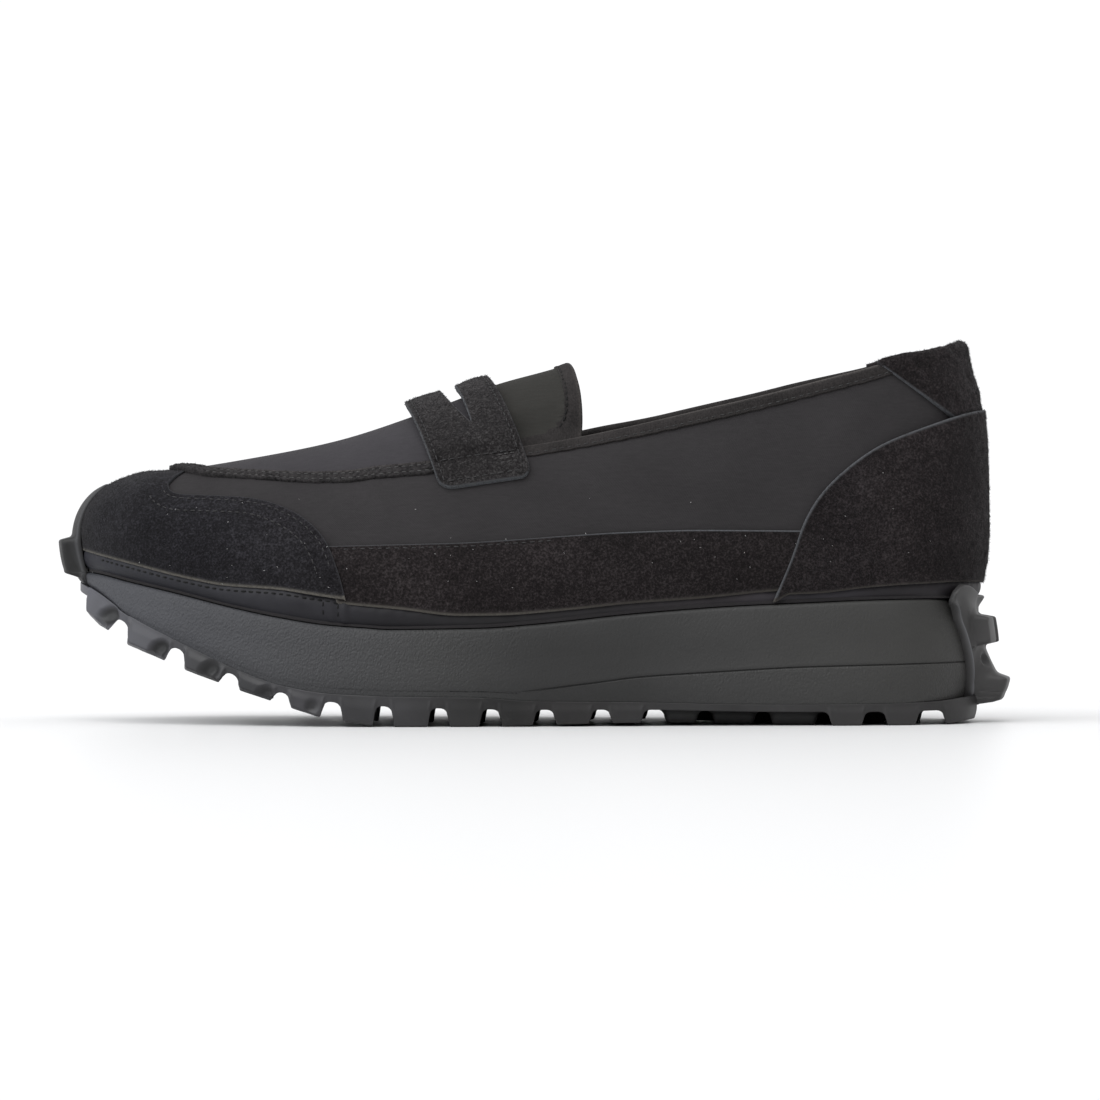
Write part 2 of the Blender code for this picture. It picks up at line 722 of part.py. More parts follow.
def build_outsole(group, cutters, mat):
    phi = sections()
    x, y = plan_offset(phi, stand_off(phi, **OUTSOLE_EDGE))
    low = np.stack([x, y, sole_under(x)], axis=-1)
    high = np.stack([x, y, sole_seam(x) - GAP], axis=-1)
    sheet = loft("outsole", [low, high], group, mat)

    # heel wrap: stands off the midsole's back
    shares = np.array([0.0, 0.12, 0.5, 0.85, 0.98])
    inner, outer = [], []
    half = np.radians(180 - np.interp(shares, [0, 1], [HEEL_WRAP_LOW_DEG, HEEL_WRAP_TOP_DEG]))
    for k, share in enumerate(shares):
        ang = math.pi + np.linspace(-half[k], half[k], 9)
        a = midsole_ring(ang, share, GAP)
        b = midsole_ring(ang, share, GAP + WRAP)
        if k == 0:
            inner.append(np.stack([a[:, 0], a[:, 1], sole_under(a[:, 0]) + 0.9], axis=-1))
            outer.append(np.stack([b[:, 0], b[:, 1], sole_under(a[:, 0]) + 0.9], axis=-1))
        inner.append(a)
        outer.append(b)
    heel_wrap = slab("heel wrap", np.array(inner), np.array(outer), cutters)

    # toe wrap: up the midsole's toe, then over the toe cap to its tip
    tip = float(np.interp(WRAP_TOP_X, last(0.0, SAMPLES)[60:, 0], SAMPLES[60:]))
    inner, outer = [], []
    for share in (-1.0, 0.0, 0.12, 0.5, 0.85, 1.0):
        ang = np.linspace(-1, 1, 7) * math.radians(TOE_WRAP_HALF)
        a = midsole_ring(ang, max(share, 0.0), GAP)
        b = midsole_ring(ang, max(share, 0.0), GAP + TOE_WRAP)
        if share < 0:
            a[:, 2] = b[:, 2] = sole_under(a[:, 0]) + 0.9
        inner.append(a)
        outer.append(b)
    for k, t in enumerate(np.linspace(0.06, tip, 7)):
        ang = np.linspace(-1, 1, 7) * math.radians(TOE_WRAP_HALF - 2.4 * k / 6)
        lift = CAP_GAP + SUEDE + GAP
        inner.append(skin(ang, t, np.full(7, lift)))
        outer.append(skin(ang, t, np.full(7, lift + TOE_WRAP - 1.2 * k / 6)))
    toe_wrap = slab("toe wrap", np.array(inner), np.array(outer), cutters)

    lugs = []
    for front, rear, setback, depth, centre in zip(*LUGS.values()):
        lugs += [lug_corners(front, rear, setback, depth, side) for side in (-1, 1)]
        if centre:
            lugs.append(centre_corners(front, rear))
    lug_blocks = blocks("lugs", lugs, cutters)
    for other in [heel_wrap, toe_wrap, lug_blocks] + build_studs(cutters):
        join_to(sheet, other)
    return sheet


def overlay_grid(phi, low, high, rows):
    share = np.linspace(0, 1, rows)[:, None]
    return np.broadcast_to(phi[None, :], (rows, len(phi))), low[None, :] * (1 - share) + high[None, :] * share


def ring_of(x_list, inner_theta):
    """Section angles from a front/rear station, round the end, to the other side."""
    theta = np.concatenate([theta_at(np.array(x_list)), inner_theta])
    return theta


def build_toe_cap(group, mat):
    rear = theta_at(np.array([-54.9, -55.6, -56.8, -58.4, -60.6, -63.5, -67, -71.5, -77, -83.5, -90, -96.5, -102]))
    round_toe = np.radians(np.linspace(38, 4, 9))
    theta = np.concatenate([rear[::-1][::-1], round_toe])
    phi = np.concatenate([theta, [0.0], 2 * math.pi - theta[::-1]])
    low = crossing(phi, cap_low)
    seam = seam_t(phi) - 0.006
    high = np.minimum(crossing(phi, lambda x: np.where(x < -108.3, 999.0, cap_edge(x))), seam)
    high = np.maximum(high, low + 0.004)
    grid = overlay_grid(phi[::-1], low[::-1], high[::-1], 8)
    return patch("toe_cap", np.where(grid[0] > math.pi, grid[0] - 2 * math.pi, grid[0]),
                 grid[1], CAP_GAP, SUEDE, group, mat)


def build_strip(name, side, group, mat):
    rows, cols = 4, 13
    v = np.linspace(0, 1, rows)
    x_low = np.linspace(-62, 80, 60)
    phi = np.zeros((rows, cols))
    t = np.zeros((rows, cols))
    edge_x, edge_z = COUNTER_EDGE["x"], COUNTER_EDGE["z"]
    cap_x, cap_z = CAP_EDGE["x"][::-1], CAP_EDGE["z"][::-1]
    for r in range(rows):
        height = lambda x: strip_low(x) * (1 - v[r]) + strip_high(x) * v[r]
        z_front, z_rear = float(height(-58.0)), float(height(76.0))
        x0 = float(np.interp(z_front, cap_z, cap_x)) + 1.0
        x1 = float(np.interp(z_rear, edge_z, edge_x)) - 1.2
        theta = theta_at(np.linspace(x0, x1, cols))
        phi[r] = theta if side < 0 else (2 * math.pi - theta)[::-1]
        t[r] = crossing(phi[r], height)
    return patch(name, phi, t, OVERLAY_GAP, SUEDE, group, mat)


def build_counter(group, mat):
    front = theta_at(np.array([71.2, 72.2, 73.6, 75.4, 77.6, 80.4, 84, 88.5, 94, 100, 106]))
    back = np.linspace(front[-1], math.pi, 9)[1:]
    theta = np.concatenate([front, back])
    phi = np.concatenate([theta, 2 * math.pi - theta[-2::-1]])
    low = crossing(phi, counter_low)
    high = np.maximum(crossing(phi, counter_edge), low + 0.004)
    return patch("heel_counter", *overlay_grid(phi, low, high, 7), OVERLAY_GAP, COUNTER, group, mat)


def build_tab(group, mat):
    front = theta_at(np.array([106.5, 109, 112, 115.5, 119]))
    back = np.linspace(front[-1], math.pi, 8)[1:]
    theta = np.concatenate([front, back])
    phi = np.concatenate([theta, 2 * math.pi - theta[-2::-1]])
    high = seam_t(phi)
    low = np.maximum(crossing(phi, tab_front), crossing(phi, lambda x: counter_edge(x) + 1.4))
    low = np.minimum(low, high - 0.008)
    return patch("heel_tab", *overlay_grid(phi, low, high, 5), OVERLAY_GAP, SUEDE, group, mat)


def build_tongue(group, mat):
    rows, cols = 15, 8
    b = np.linspace(-1, 1, rows)
    phi = np.zeros((rows, cols))
    t = np.zeros((rows, cols))
    sink = np.zeros((rows, cols))
    for r, across in enumerate(b):
        x = np.linspace(THROAT_X + GAP / 2, float(tongue_rear(abs(across))), cols)
        theta = theta_at(x)
        phi[r] = theta if across <= 0 else 2 * math.pi - theta
        collar = seam_t(phi[r])
        low = collar - 0.05
        t[r] = 1 - (1 - low) * abs(across)
        sink[r] = (WALL + 0.7) * (1 - step(0.03, 0.17, t[r] - collar))
    pts = skin(phi, t, -sink)
    ob = mesh_object("tongue", pts.reshape(-1, 3), [tuple(reversed(f)) for f in grid_faces(rows, cols)][::-1], group, mat)
    fix_facing(ob)
    thicken(ob, TONGUE, False)
    return ob


def fix_facing(ob):
    """Turn an over-the-foot sheet so that its faces look up."""
    up = sum(p.normal.z * p.area for p in ob.data.polygons)
    if up < 0:
        bm = bmesh.new()
        bm.from_mesh(ob.data)
        bmesh.ops.reverse_faces(bm, faces=bm.faces)
        bm.to_mesh(ob.data)
        bm.free()
        ob.data.update()


def build_strap(group, mat):
    b = np.concatenate([[-1, -0.975, -0.94], np.linspace(-0.86, 0.86, 19), [0.94, 0.975, 1]])
    half_cols = 4
    points, faces, index = [], [], {}
    for r, across in enumerate(b):
        reach = abs(across)
        x0 = STRAP_RIDGE_FRONT + STRAP_SKEW * reach ** 1.3
        x1 = x0 + STRAP_WIDTH
        end = max(0.0, (reach - 0.9) / 0.1)
        corner = STRAP_CORNER * (1 - math.sqrt(max(0.0, 1 - end * end)))
        x0, x1 = x0 + corner, x1 - corner
        opening = SLOT_HALF * max(0.0, 1 - (reach / SLOT_REACH) ** 2)
        shift = 0.05 * min(1.0, reach / SLOT_REACH)
        for part in (0, 1):
            for k in range(half_cols + 1):
                if part == 0:
                    a = (SLOT_CENTRE + shift - opening) * k / half_cols
                else:
                    a0 = SLOT_CENTRE + shift + opening
                    a = a0 + (1 - a0) * k / half_cols
                if part == 1 and k == 0 and opening == 0.0:
                    index[r, 1, 0] = index[r, 0, half_cols]
                    continue
                x = x0 + (x1 - x0) * a
                theta = float(theta_at(x))
                phi = theta if across <= 0 else 2 * math.pi - theta
                bottom = float(crossing(phi, strap_end)[0])
                t = 1 - (1 - bottom) * reach
                lift = STRAP_LIFT_FRONT * (1 - a) + STRAP_LIFT_REAR * a
                off = OVERLAY_GAP + 0.05 + lift * (1 - reach) ** 1.5
                index[r, part, k] = len(points)
                points.append(skin(np.array(phi), np.array(t), np.array(off)))
    for r in range(len(b) - 1):
        for part in (0, 1):
            for k in range(half_cols):
                faces.append((index[r, part, k], index[r, part, k + 1],
                              index[r + 1, part, k + 1], index[r + 1, part, k]))
    ob = mesh_object("saddle_strap", np.array(points), faces, group, mat)
    fix_facing(ob)
    thicken(ob, STRAP, True)
    return ob


def main():
    fresh()
    shoe = collection("loafer sneaker")
    cutters = collection("cutters")
    rubber = material("rubber", (0.055, 0.052, 0.051), 0.55)
    foam = material("foam", (0.060, 0.060, 0.066), 0.6)
    nylon = material("nylon", (0.040, 0.039, 0.041), 0.7)
    apron = material("tongue_nylon", (0.045, 0.044, 0.044), 0.7)
    sock = material("sock_cloth", (0.030, 0.030, 0.031), 0.85)
    cap = material("toe_suede", (0.021, 0.020, 0.022), 0.95)
    strip_l = material("strip_suede_lateral", (0.022, 0.021, 0.021), 0.95)
    strip_m = material("strip_suede_medial", (0.022, 0.021, 0.021), 0.95)
    counter = material("counter_suede", (0.020, 0.019, 0.019), 0.95)
    tab = material("tab_suede", (0.021, 0.020, 0.020), 0.95)
    strap = material("strap_suede", (0.027, 0.026, 0.026), 0.95)
    build_outsole(shoe, cutters, rubber)
    build_midsole(shoe, foam)
    build_insole(shoe, sock)
    build_upper(shoe, nylon)
    build_tongue(shoe, apron)
    build_toe_cap(shoe, cap)
    build_strip("side_strip_lateral", -1, shoe, strip_l)
    build_strip("side_strip_medial", 1, shoe, strip_m)
    build_counter(shoe, counter)
    build_tab(shoe, tab)
    build_strap(shoe, strap)


main()
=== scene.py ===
"""Looks of the loafer sneaker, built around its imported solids.

Every piece is worked out in millimetres from the same tables as the solids
(toe toward -X, heel toward +X, lateral side toward -Y, floor at z = 0) and is
turned into metres when its mesh is made.
"""
import math
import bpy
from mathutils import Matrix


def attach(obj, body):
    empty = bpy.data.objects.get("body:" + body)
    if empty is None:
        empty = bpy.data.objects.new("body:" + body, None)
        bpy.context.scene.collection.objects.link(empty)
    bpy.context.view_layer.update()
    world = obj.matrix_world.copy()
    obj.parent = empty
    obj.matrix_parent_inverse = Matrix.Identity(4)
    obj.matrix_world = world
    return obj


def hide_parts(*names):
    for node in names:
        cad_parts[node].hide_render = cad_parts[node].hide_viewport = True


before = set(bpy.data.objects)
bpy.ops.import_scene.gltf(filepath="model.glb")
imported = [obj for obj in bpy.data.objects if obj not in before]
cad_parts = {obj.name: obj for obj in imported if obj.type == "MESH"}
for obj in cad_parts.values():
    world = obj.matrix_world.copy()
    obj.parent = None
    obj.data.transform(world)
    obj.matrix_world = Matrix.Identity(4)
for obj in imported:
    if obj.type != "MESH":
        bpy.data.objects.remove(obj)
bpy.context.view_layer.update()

from types import SimpleNamespace

import bmesh
import bpy
import numpy as np
from mathutils import Vector, kdtree
from mathutils.geometry import delaunay_2d_cdt

RNG = np.random.default_rng(11)
PI = math.pi

# ---------------------------------------------------------------- sizes (mm)
MM = 0.001
TOE_X, HEEL_X = -134.5, 132.6
PLAN_SHIFT, FRAME_SHIFT = 0.74, 0.643
WALL, GAP = 2.2, 0.3
INSOLE = 3.5
THROAT_X = -14.0
TOE_FAN_X, HEEL_FAN_X, FAN_SOFTNESS = -104.0, 92.0, 16.0
LUG_PROUD = 0.4
CENTRE_LUG = 10.5
LUG_FAN_X, LUG_FAN, LUG_FAN_Y = 4.8, 0.052, 45.0
LUG_FILLET, LUG_DRAFT, LUG_TIP = 2.3, 0.4, 0.6
TOE_WRAP, WRAP_TOP_X = 2.0, -127.5
STRAP_RIDGE_FRONT, STRAP_WIDTH, STRAP_SKEW, STRAP_FLARE = -37.7, 24.6, 10.3, 2.6
STRAP_LIFT_FRONT, STRAP_LIFT_REAR, STRAP_CORNER = 2.5, 1.5, 3.6
SLOT_FORE, SLOT_AFT, SLOT_TIP, SLOT_REACH = 0.445, 0.605, 0.565, 0.60
STRAP_HALF = 52.0       # strap's half length along the foot's girth
TONGUE_HALF = 40.0
BAND = 0.55             # collar binding's thickness
BAND_LEG = 2.8          # its legs below the turn
RISE = 75.0             # one unit of t on the upper's chart


def table(columns, rows):
    """A short table: named columns, one row for each section."""
    return dict(zip(columns.split(), np.array(rows, float).T))


PLAN = table("theta mid lat med", [
    (0, 6.0, 62.0, 62.0), (10, 6.0, 62.0, 62.0), (20, 5.7, 60.8, 60.8),
    (30, 5.0, 60.0, 60.0), (45, 3.5, 55.2, 55.2), (60, 1.5, 53.7, 50.8),
    (75, 0.3, 48.9, 45.0), (90, 0.0, 44.0, 37.5), (105, 0.0, 40.9, 35.2),
    (120, 0.0, 42.7, 38.4), (135, 0.0, 49.5, 46.7), (150, 0.0, 58.0, 56.0),
    (160, 0.0, 62.9, 62.0), (170, 0.0, 63.3, 63.0), (180, 0.0, 63.0, 63.0),
])
SOLE = table("x top seam under ground", [
    (-142, 45.6, 44.2, 41.4, 39.0), (-130, 44.2, 38.6, 35.9, 31.9),
    (-120, 41.9, 32.1, 29.6, 25.0), (-105, 38.5, 24.9, 22.7, 18.2),
    (-90, 34.8, 17.9, 15.9, 12.5), (-75, 31.7, 12.4, 10.3, 7.4),
    (-60, 29.4, 9.8, 7.4, 2.8), (-49, 28.6, 9.2, 6.3, 0.7),
    (-42.5, 28.15, 8.95, 5.95, 0.0), (-15, 28.5, 8.5, 5.1, 0.0),
    (0, 29.6, 7.5, 4.9, 0.4), (30, 32.7, 7.1, 4.8, 1.0),
    (60, 34.9, 6.4, 4.2, 0.4), (80, 35.8, 6.3, 4.0, 0.0),
    (100, 36.6, 6.4, 4.0, 0.0), (118, 36.9, 6.9, 4.2, 0.0),
    (130, 36.7, 8.0, 5.0, 1.2), (142, 36.5, 8.8, 5.5, 2.4),
])
RIDGE = table("x y z", [
    (-108, 4.0, 75.2), (-95, 3.8, 77.3), (-85, 3.5, 79.0), (-70, 3.0, 81.8),
    (-56, 2.5, 85.1), (-42, 2.0, 89.6), (-28, 1.6, 94.7), (-10, 1.2, 101.2),
    (4, 1.0, 105.0), (10, 1.0, 106.9), (25, 0.8, 115.0), (40, 0.5, 129.0),
    (55, 0.3, 143.0), (70, 0.0, 155.0), (95, 0.0, 166.0),
])
SHAPE = table("x bulge climb crown", [
    (-135, 4.4, 0.76, 0.20), (-117, 3.2, 0.74, 0.26), (-95, 1.8, 0.70, 0.36),
    (-68, 1.1, 0.62, 0.45), (-40, 1.2, 0.58, 0.50), (0, 1.5, 0.55, 0.58),
    (35, 1.8, 0.50, 0.56), (70, 2.2, 0.45, 0.54), (95, 2.6, 0.42, 0.56),
    (116, 4.5, 0.43, 0.44), (134, 7.4, 0.45, 0.33),
])
COLLAR = table("x z lift", [
    (-110, 75.6, 0.0), (-88, 74.6, 0.0), (-70, 74.2, 0.0), (-54, 74.9, 0.0),
    (-47, 76.0, 0.0), (-31, 77.7, 0.0), (-14, 80.6, 0.5), (-3, 82.3, 1.1),
    (8, 84.1, 1.8), (25, 87.5, 2.2), (50, 93.2, 2.2), (75, 99.0, 2.0),
    (92, 103.1, 1.3), (101, 105.6, 0.8), (107, 107.6, 0.4), (114, 109.3, 0.0),
    (122, 111.4, 0.0), (129, 113.2, 0.0), (136, 114.0, 0.0),
])
APRON_FRONT = table("theta reach", [
    (0, 5.6), (10, 6.2), (20, 8.4), (30, 12.5), (40, 18.0), (55, 25.0),
])
CAP_LOW = table("x z", [
    (-138, 52.2), (-121, 47.9), (-102, 43.1), (-91, 41.0),
    (-74, 39.7), (-63, 38.0), (-55, 36.9), (-50, 36.5),
])
CAP_EDGE = table("x z", [
    (-108.3, 70.4), (-107.4, 68.6), (-105.5, 67.6), (-102, 67.2),
    (-94, 66.9), (-86.5, 66.5), (-80.7, 65.8), (-75, 64.2), (-69.4, 61.7),
    (-63.7, 57.4), (-60.3, 53.0), (-58, 47.9), (-55.7, 41.0), (-54.6, 36.4),
])
STRIP = table("x low high", [
    (-62, 36.2, 52.2), (-54, 35.4, 52.4), (-38.7, 34.0, 52.8),
    (-21.5, 32.2, 53.3), (-11, 32.3, 53.9), (9.5, 33.8, 55.4),
    (26.7, 35.6, 56.5), (48.7, 37.2, 57.2), (69, 39.2, 57.1), (80, 40.0, 57.0),
])
COUNTER_LOW = table("x z", [
    (69, 38.2), (84, 38.8), (97.6, 40.4), (111, 41.4), (126, 42.0), (140, 41.8),
])
COUNTER_EDGE = table("x z", [
    (70.8, 38.4), (71.6, 40.4), (75, 48.6), (78.3, 57.8), (81.8, 64.6),
    (86.1, 70.1), (92.1, 75.6), (100.6, 81.5), (113.6, 87.1), (126, 91.6),
    (140, 94.6),
])
TAB_FRONT = table("x z", [(98, 108.6), (101.6, 106.1), (122, 91.4), (140, 78.0)])
STRAP_END = table("x z", [(-60, 63.7), (-25.7, 68.9), (-1.9, 72.5), (30, 77.3)])
TONGUE_REAR = table("share x", [(0, 10.4), (0.35, 12.4), (0.7, 14.0), (1.1, 13.0)])
MIDSOLE_SIDE = table("share toe side heel", [
    (0.00, 0.0, 3.2, -2.6), (0.12, 0.6, 3.7, -1.6), (0.50, 1.0, 3.2, -0.5),
    (0.85, 1.0, 2.2, -1.8), (1.00, 0.6, 1.4, -2.8),
])
OUTSOLE_EDGE = dict(toe=2.2, side=3.2, heel=0.9)
LUGS = table("front rear setback depth centre", [
    (-131.5, -122.0, 0.0, 7.0, 0), (-117.8, -106.0, 0.0, 13.0, 1),
    (-101.3, -90.4, 0.0, 14.0, 1), (-85.6, -75.6, 0.0, 14.0, 1),
    (-70.9, -61.4, 0.0, 14.0, 1), (-56.0, -46.4, 0.0, 14.0, 1),
    (-41.2, -30.4, 0.0, 14.0, 1), (-25.0, -15.4, 0.0, 14.0, 1),
    (-9.8, 0.2, 0.0, 14.0, 1), (6.0, 16.6, 0.0, 14.0, 1),
    (22.4, 31.6, 0.0, 14.0, 1), (38.0, 47.7, 6.0, 11.0, 1),
    (52.0, 64.4, 8.0, 9.0, 1), (69.0, 82.5, 6.0, 11.0, 1),
    (86.3, 96.0, 0.0, 14.0, 1), (102.6, 111.7, 0.0, 12.0, 1),
    (119.6, 130.6, 0.0, 8.0, 0),
])
HEEL_STUDS = table("middle half low high reach", [
    (0, 3.5, 0.53, 0.84, 4.8), (-10.4, 3.4, 0.53, 0.84, 4.7),
    (10.4, 3.4, 0.53, 0.84, 4.7), (0, 9.5, -0.10, 0.20, 9.0),
])
# midsole's parting groove, and round dimples moulded in the toe lugs' faces
GROOVE = table("x z", [
    (-30, 7.4), (-18, 8.5), (-0.7, 10.5), (16.5, 12.6), (30.2, 14.3),
    (48.6, 15.5), (80.4, 17.2), (104.8, 17.8), (127.8, 18.3), (140, 18.5),
])
DIMPLES = table("x z radius depth", [
    (-125.8, 31.7, 3.8, 1.8), (-109.6, 22.3, 3.6, 1.8),
    (-94.6, 16.2, 3.6, 1.7), (-78.0, 9.3, 3.4, 1.5), (-64.4, 6.0, 2.6, 0.8),
])

CENTRE_X = (TOE_X + HEEL_X) / 2
HALF_LENGTH = (HEEL_X - TOE_X) / 2


# ---------------------------------------------------------------- curves
def smooth(tab, key, value):
    """Natural cubic through a table's rows."""
    x, y = tab[key], tab[value]
    n, h = len(x), np.diff(x)
    a, b = np.eye(n), np.zeros(n)
    for i in range(1, n - 1):
        a[i, i - 1:i + 2] = h[i - 1], 2 * (h[i - 1] + h[i]), h[i]
        b[i] = 6 * ((y[i + 1] - y[i]) / h[i] - (y[i] - y[i - 1]) / h[i - 1])
    m = np.linalg.solve(a, b)

    def f(q):
        q = np.clip(np.asarray(q, float), x[0], x[-1])
        i = np.clip(np.searchsorted(x, q) - 1, 0, n - 2)
        d = q - x[i]
        slope = (y[i + 1] - y[i]) / h[i] - h[i] * (2 * m[i] + m[i + 1]) / 6
        return y[i] + d * slope + d * d * m[i] / 2 + d ** 3 * (m[i + 1] - m[i]) / (6 * h[i])
    return f


def steady(tab, key, value):
    """Monotone cubic through a table's rows: equal rows give a flat run."""
    x, y = tab[key], tab[value]
    h = np.diff(x)
    s = np.diff(y) / h
    m = np.zeros(len(x))
    m[0], m[-1] = s[0], s[-1]
    for i in range(1, len(x) - 1):
        if s[i - 1] * s[i] > 0:
            w1, w2 = 2 * h[i] + h[i - 1], h[i] + 2 * h[i - 1]
            m[i] = (w1 + w2) / (w1 / s[i - 1] + w2 / s[i])

    def f(q):
        q = np.clip(np.asarray(q, float), x[0], x[-1])
        i = np.clip(np.searchsorted(x, q) - 1, 0, len(h) - 1)
        u = (q - x[i]) / h[i]
        return ((1 + 2 * u) * (1 - u) ** 2 * y[i] + u * (1 - u) ** 2 * h[i] * m[i]
                + u * u * (3 - 2 * u) * y[i + 1] + u * u * (u - 1) * h[i] * m[i + 1])
    return f


def step(edge0, edge1, q):
    u = np.clip((np.asarray(q, float) - edge0) / (edge1 - edge0), 0, 1)
    return u * u * (3 - 2 * u)


def rounded(d, radius):
    """0 at an edge, rising as a quarter circle to 1 at `radius` from it."""
    q = 1 - np.clip(np.asarray(d, float) / radius, 0, 1)
    return np.sqrt(np.maximum(0, 1 - q * q))


def unit(v):
    return v / np.maximum(np.linalg.norm(v, axis=-1, keepdims=True), 1e-12)


def spline(points, count):
    """Points evenly along a smooth curve through a short list."""
    p = np.array(points, float)
    s = np.concatenate([[0], np.cumsum(np.linalg.norm(np.diff(p, axis=0), axis=1))])
    q = np.linspace(0, s[-1], count)
    return np.stack([smooth({"s": s, "y": p[:, k]}, "s", "y")(q) for k in range(p.shape[1])], axis=-1)


plan_mid = smooth(PLAN, "theta", "mid")
plan_lat = smooth(PLAN, "theta", "lat")
plan_med = smooth(PLAN, "theta", "med")
sole_top = steady(SOLE, "x", "top")
sole_seam = steady(SOLE, "x", "seam")
sole_under = steady(SOLE, "x", "under")
lug_ground = steady(SOLE, "x", "ground")
ridge_y = smooth(RIDGE, "x", "y")
ridge_z = smooth(RIDGE, "x", "z")
wall_bulge = smooth(SHAPE, "x", "bulge")
wall_climb = smooth(SHAPE, "x", "climb")
wall_crown = smooth(SHAPE, "x", "crown")
collar_z = steady(COLLAR, "x", "z")
collar_lift = steady(COLLAR, "x", "lift")
apron_reach = smooth(APRON_FRONT, "theta", "reach")
cap_low = steady(CAP_LOW, "x", "z")
strip_low = steady(STRIP, "x", "low")
strip_high = steady(STRIP, "x", "high")
counter_low = steady(COUNTER_LOW, "x", "z")
counter_edge = steady(COUNTER_EDGE, "x", "z")
tab_front = steady(TAB_FRONT, "x", "z")
strap_end = steady(STRAP_END, "x", "z")
tongue_rear = steady(TONGUE_REAR, "share", "x")
groove_z = steady(GROOVE, "x", "z")


def sole_ground(x):
    """Lugs' lower ends, a touch longer round the toe."""
    x = np.asarray(x, float)
    return lug_ground(x) - 1.0 * (1 - step(-122, -112, x)) - 0.45 * step(-122, -112, x) * (1 - step(-62, -50, x))


# ---------------------------------------------------------------- the last
def fold(phi):
    phi = np.mod(np.asarray(phi, float), 2 * PI)
    return np.where(phi <= PI, phi, 2 * PI - phi), np.where(phi <= PI, -1.0, 1.0)


def theta_at(x):
    return np.arccos(np.clip((CENTRE_X - np.asarray(x, float)) / HALF_LENGTH, -1, 1))


def plan(phi):
    theta, side = fold(phi)
    deg = np.degrees(theta)
    half = np.where(side < 0, plan_lat(deg), plan_med(deg))
    return (CENTRE_X - HALF_LENGTH * np.cos(theta),
            plan_mid(deg) + side * np.sin(theta) * half)


def plan_offset(phi, distance):
    x, y = plan(phi)
    x1, y1 = plan(np.asarray(phi) + 1e-4)
    x0, y0 = plan(np.asarray(phi) - 1e-4)
    tx, ty = x1 - x0, y1 - y0
    length = np.hypot(tx, ty)
    return x + distance * ty / length, y - distance * tx / length


def ridge_x(x):
    front = FAN_SOFTNESS * np.log1p(np.exp((TOE_FAN_X - x) / FAN_SOFTNESS))
    rear = FAN_SOFTNESS * np.log1p(np.exp((x - HEEL_FAN_X) / FAN_SOFTNESS))
    return x + front - rear


def last(phi, t):
    """Point of the upper's outer face: section phi, t from feather edge to ridge."""
    t = np.asarray(t, float)
    bx, by = plan(phi)
    rx = ridge_x(bx)
    ry, rz = ridge_y(rx), ridge_z(rx)
    slope = ridge_z(rx + 0.5) - ridge_z(rx - 0.5)
    run = np.hypot(rx - bx, ry - by)
    ex, ey = (rx - bx) / run, (ry - by) / run
    base = sole_top(bx) + GAP
    climb = base + wall_climb(bx) * (rz - base)
    crown = wall_crown(bx) * run
    b1, b2, b3 = 3 * (1 - t) ** 2 * t, 3 * (1 - t) * t * t, t ** 3
    r = -b1 * wall_bulge(bx) + b2 * crown + b3 * run
    z = (1 - t) ** 3 * base + b1 * climb + b2 * (rz - slope * ex * (run - crown)) + b3 * rz
    return np.stack(np.broadcast_arrays(bx + ex * r, by + ey * r, z), axis=-1)


def last_normal(phi, t):
    h = 1e-3
    t = np.asarray(t, float)
    along = last(phi + h, t) - last(phi - h, t)
    up = last(phi, np.minimum(t + h, 1)) - last(phi, np.maximum(t - h, 0))
    return unit(np.cross(along, up))


def skin(phi, t, off):
    """Point standing `off` outside the upper's outer face."""
    return last(phi, t) + last_normal(phi, t) * np.asarray(off, float)[..., None]


def rise(phi, t):
    """Unit direction up a section and millimetres for one unit of t."""
    h = 1e-3
    lo, hi = np.maximum(t - h, 0), np.minimum(t + h, 1)
    d = (last(phi, hi) - last(phi, lo)) / (hi - lo)[..., None]
    return unit(d), np.linalg.norm(d, axis=-1)


SAMPLES = np.linspace(0, 1, 401)


def crossing(phi, height, side_lift=0.0):
    """First t up section phi where the face reaches z = height(x)."""
    phi = np.atleast_1d(np.asarray(phi, float))
    p = last(phi[:, None], SAMPLES[None, :])
    over = p[..., 2] - height(p[..., 0]) - np.atleast_1d(side_lift)[:, None] * collar_lift(p[..., 0])
    out = np.ones(len(phi))
    for i, row in enumerate(over):
        hit = np.nonzero(row >= 0)[0]
        if len(hit):
            k = hit[0]
            out[i] = 0.0 if k == 0 else SAMPLES[k - 1] + (SAMPLES[k] - SAMPLES[k - 1]) * row[k - 1] / (row[k - 1] - row[k])
    return out


def seam_rows(phi):
    """Apron seam in front of the throat, topline behind it."""
    theta, side = fold(phi)
    by_height = crossing(phi, collar_z, (side > 0).astype(float))
    deg = np.degrees(theta)
    bx, by = plan(phi)
    rx = ridge_x(bx)
    run = np.hypot(rx - bx, ridge_y(rx) - by)
    p = last(phi[:, None], SAMPLES[None, :])
    went = np.hypot(p[..., 0] - bx[:, None], p[..., 1] - by[:, None])
    by_reach = np.array([np.interp(run[i] - apron_reach(deg[i]), went[i][40:], SAMPLES[40:])
                         for i in range(len(phi))])
    w = step(36, 54, deg)
    return by_reach * (1 - w) + by_height * w


SEAM_PHI = np.linspace(0, 2 * PI, 1201)
SEAM_T = seam_rows(SEAM_PHI)
ARC_PHI = np.linspace(-PI, 2 * PI, 4801)
ARC_S = np.concatenate([[0], np.cumsum(np.hypot(*np.diff(np.array(plan(ARC_PHI)), axis=1)))])
ARC_S -= np.interp(0.0, ARC_PHI, ARC_S)


def seam(phi):
    return np.interp(np.mod(phi, 2 * PI), SEAM_PHI, SEAM_T)


def phi_of(s):
    return np.interp(s, ARC_S, ARC_PHI)


def s_of(phi):
    return np.interp(phi, ARC_PHI, ARC_S)


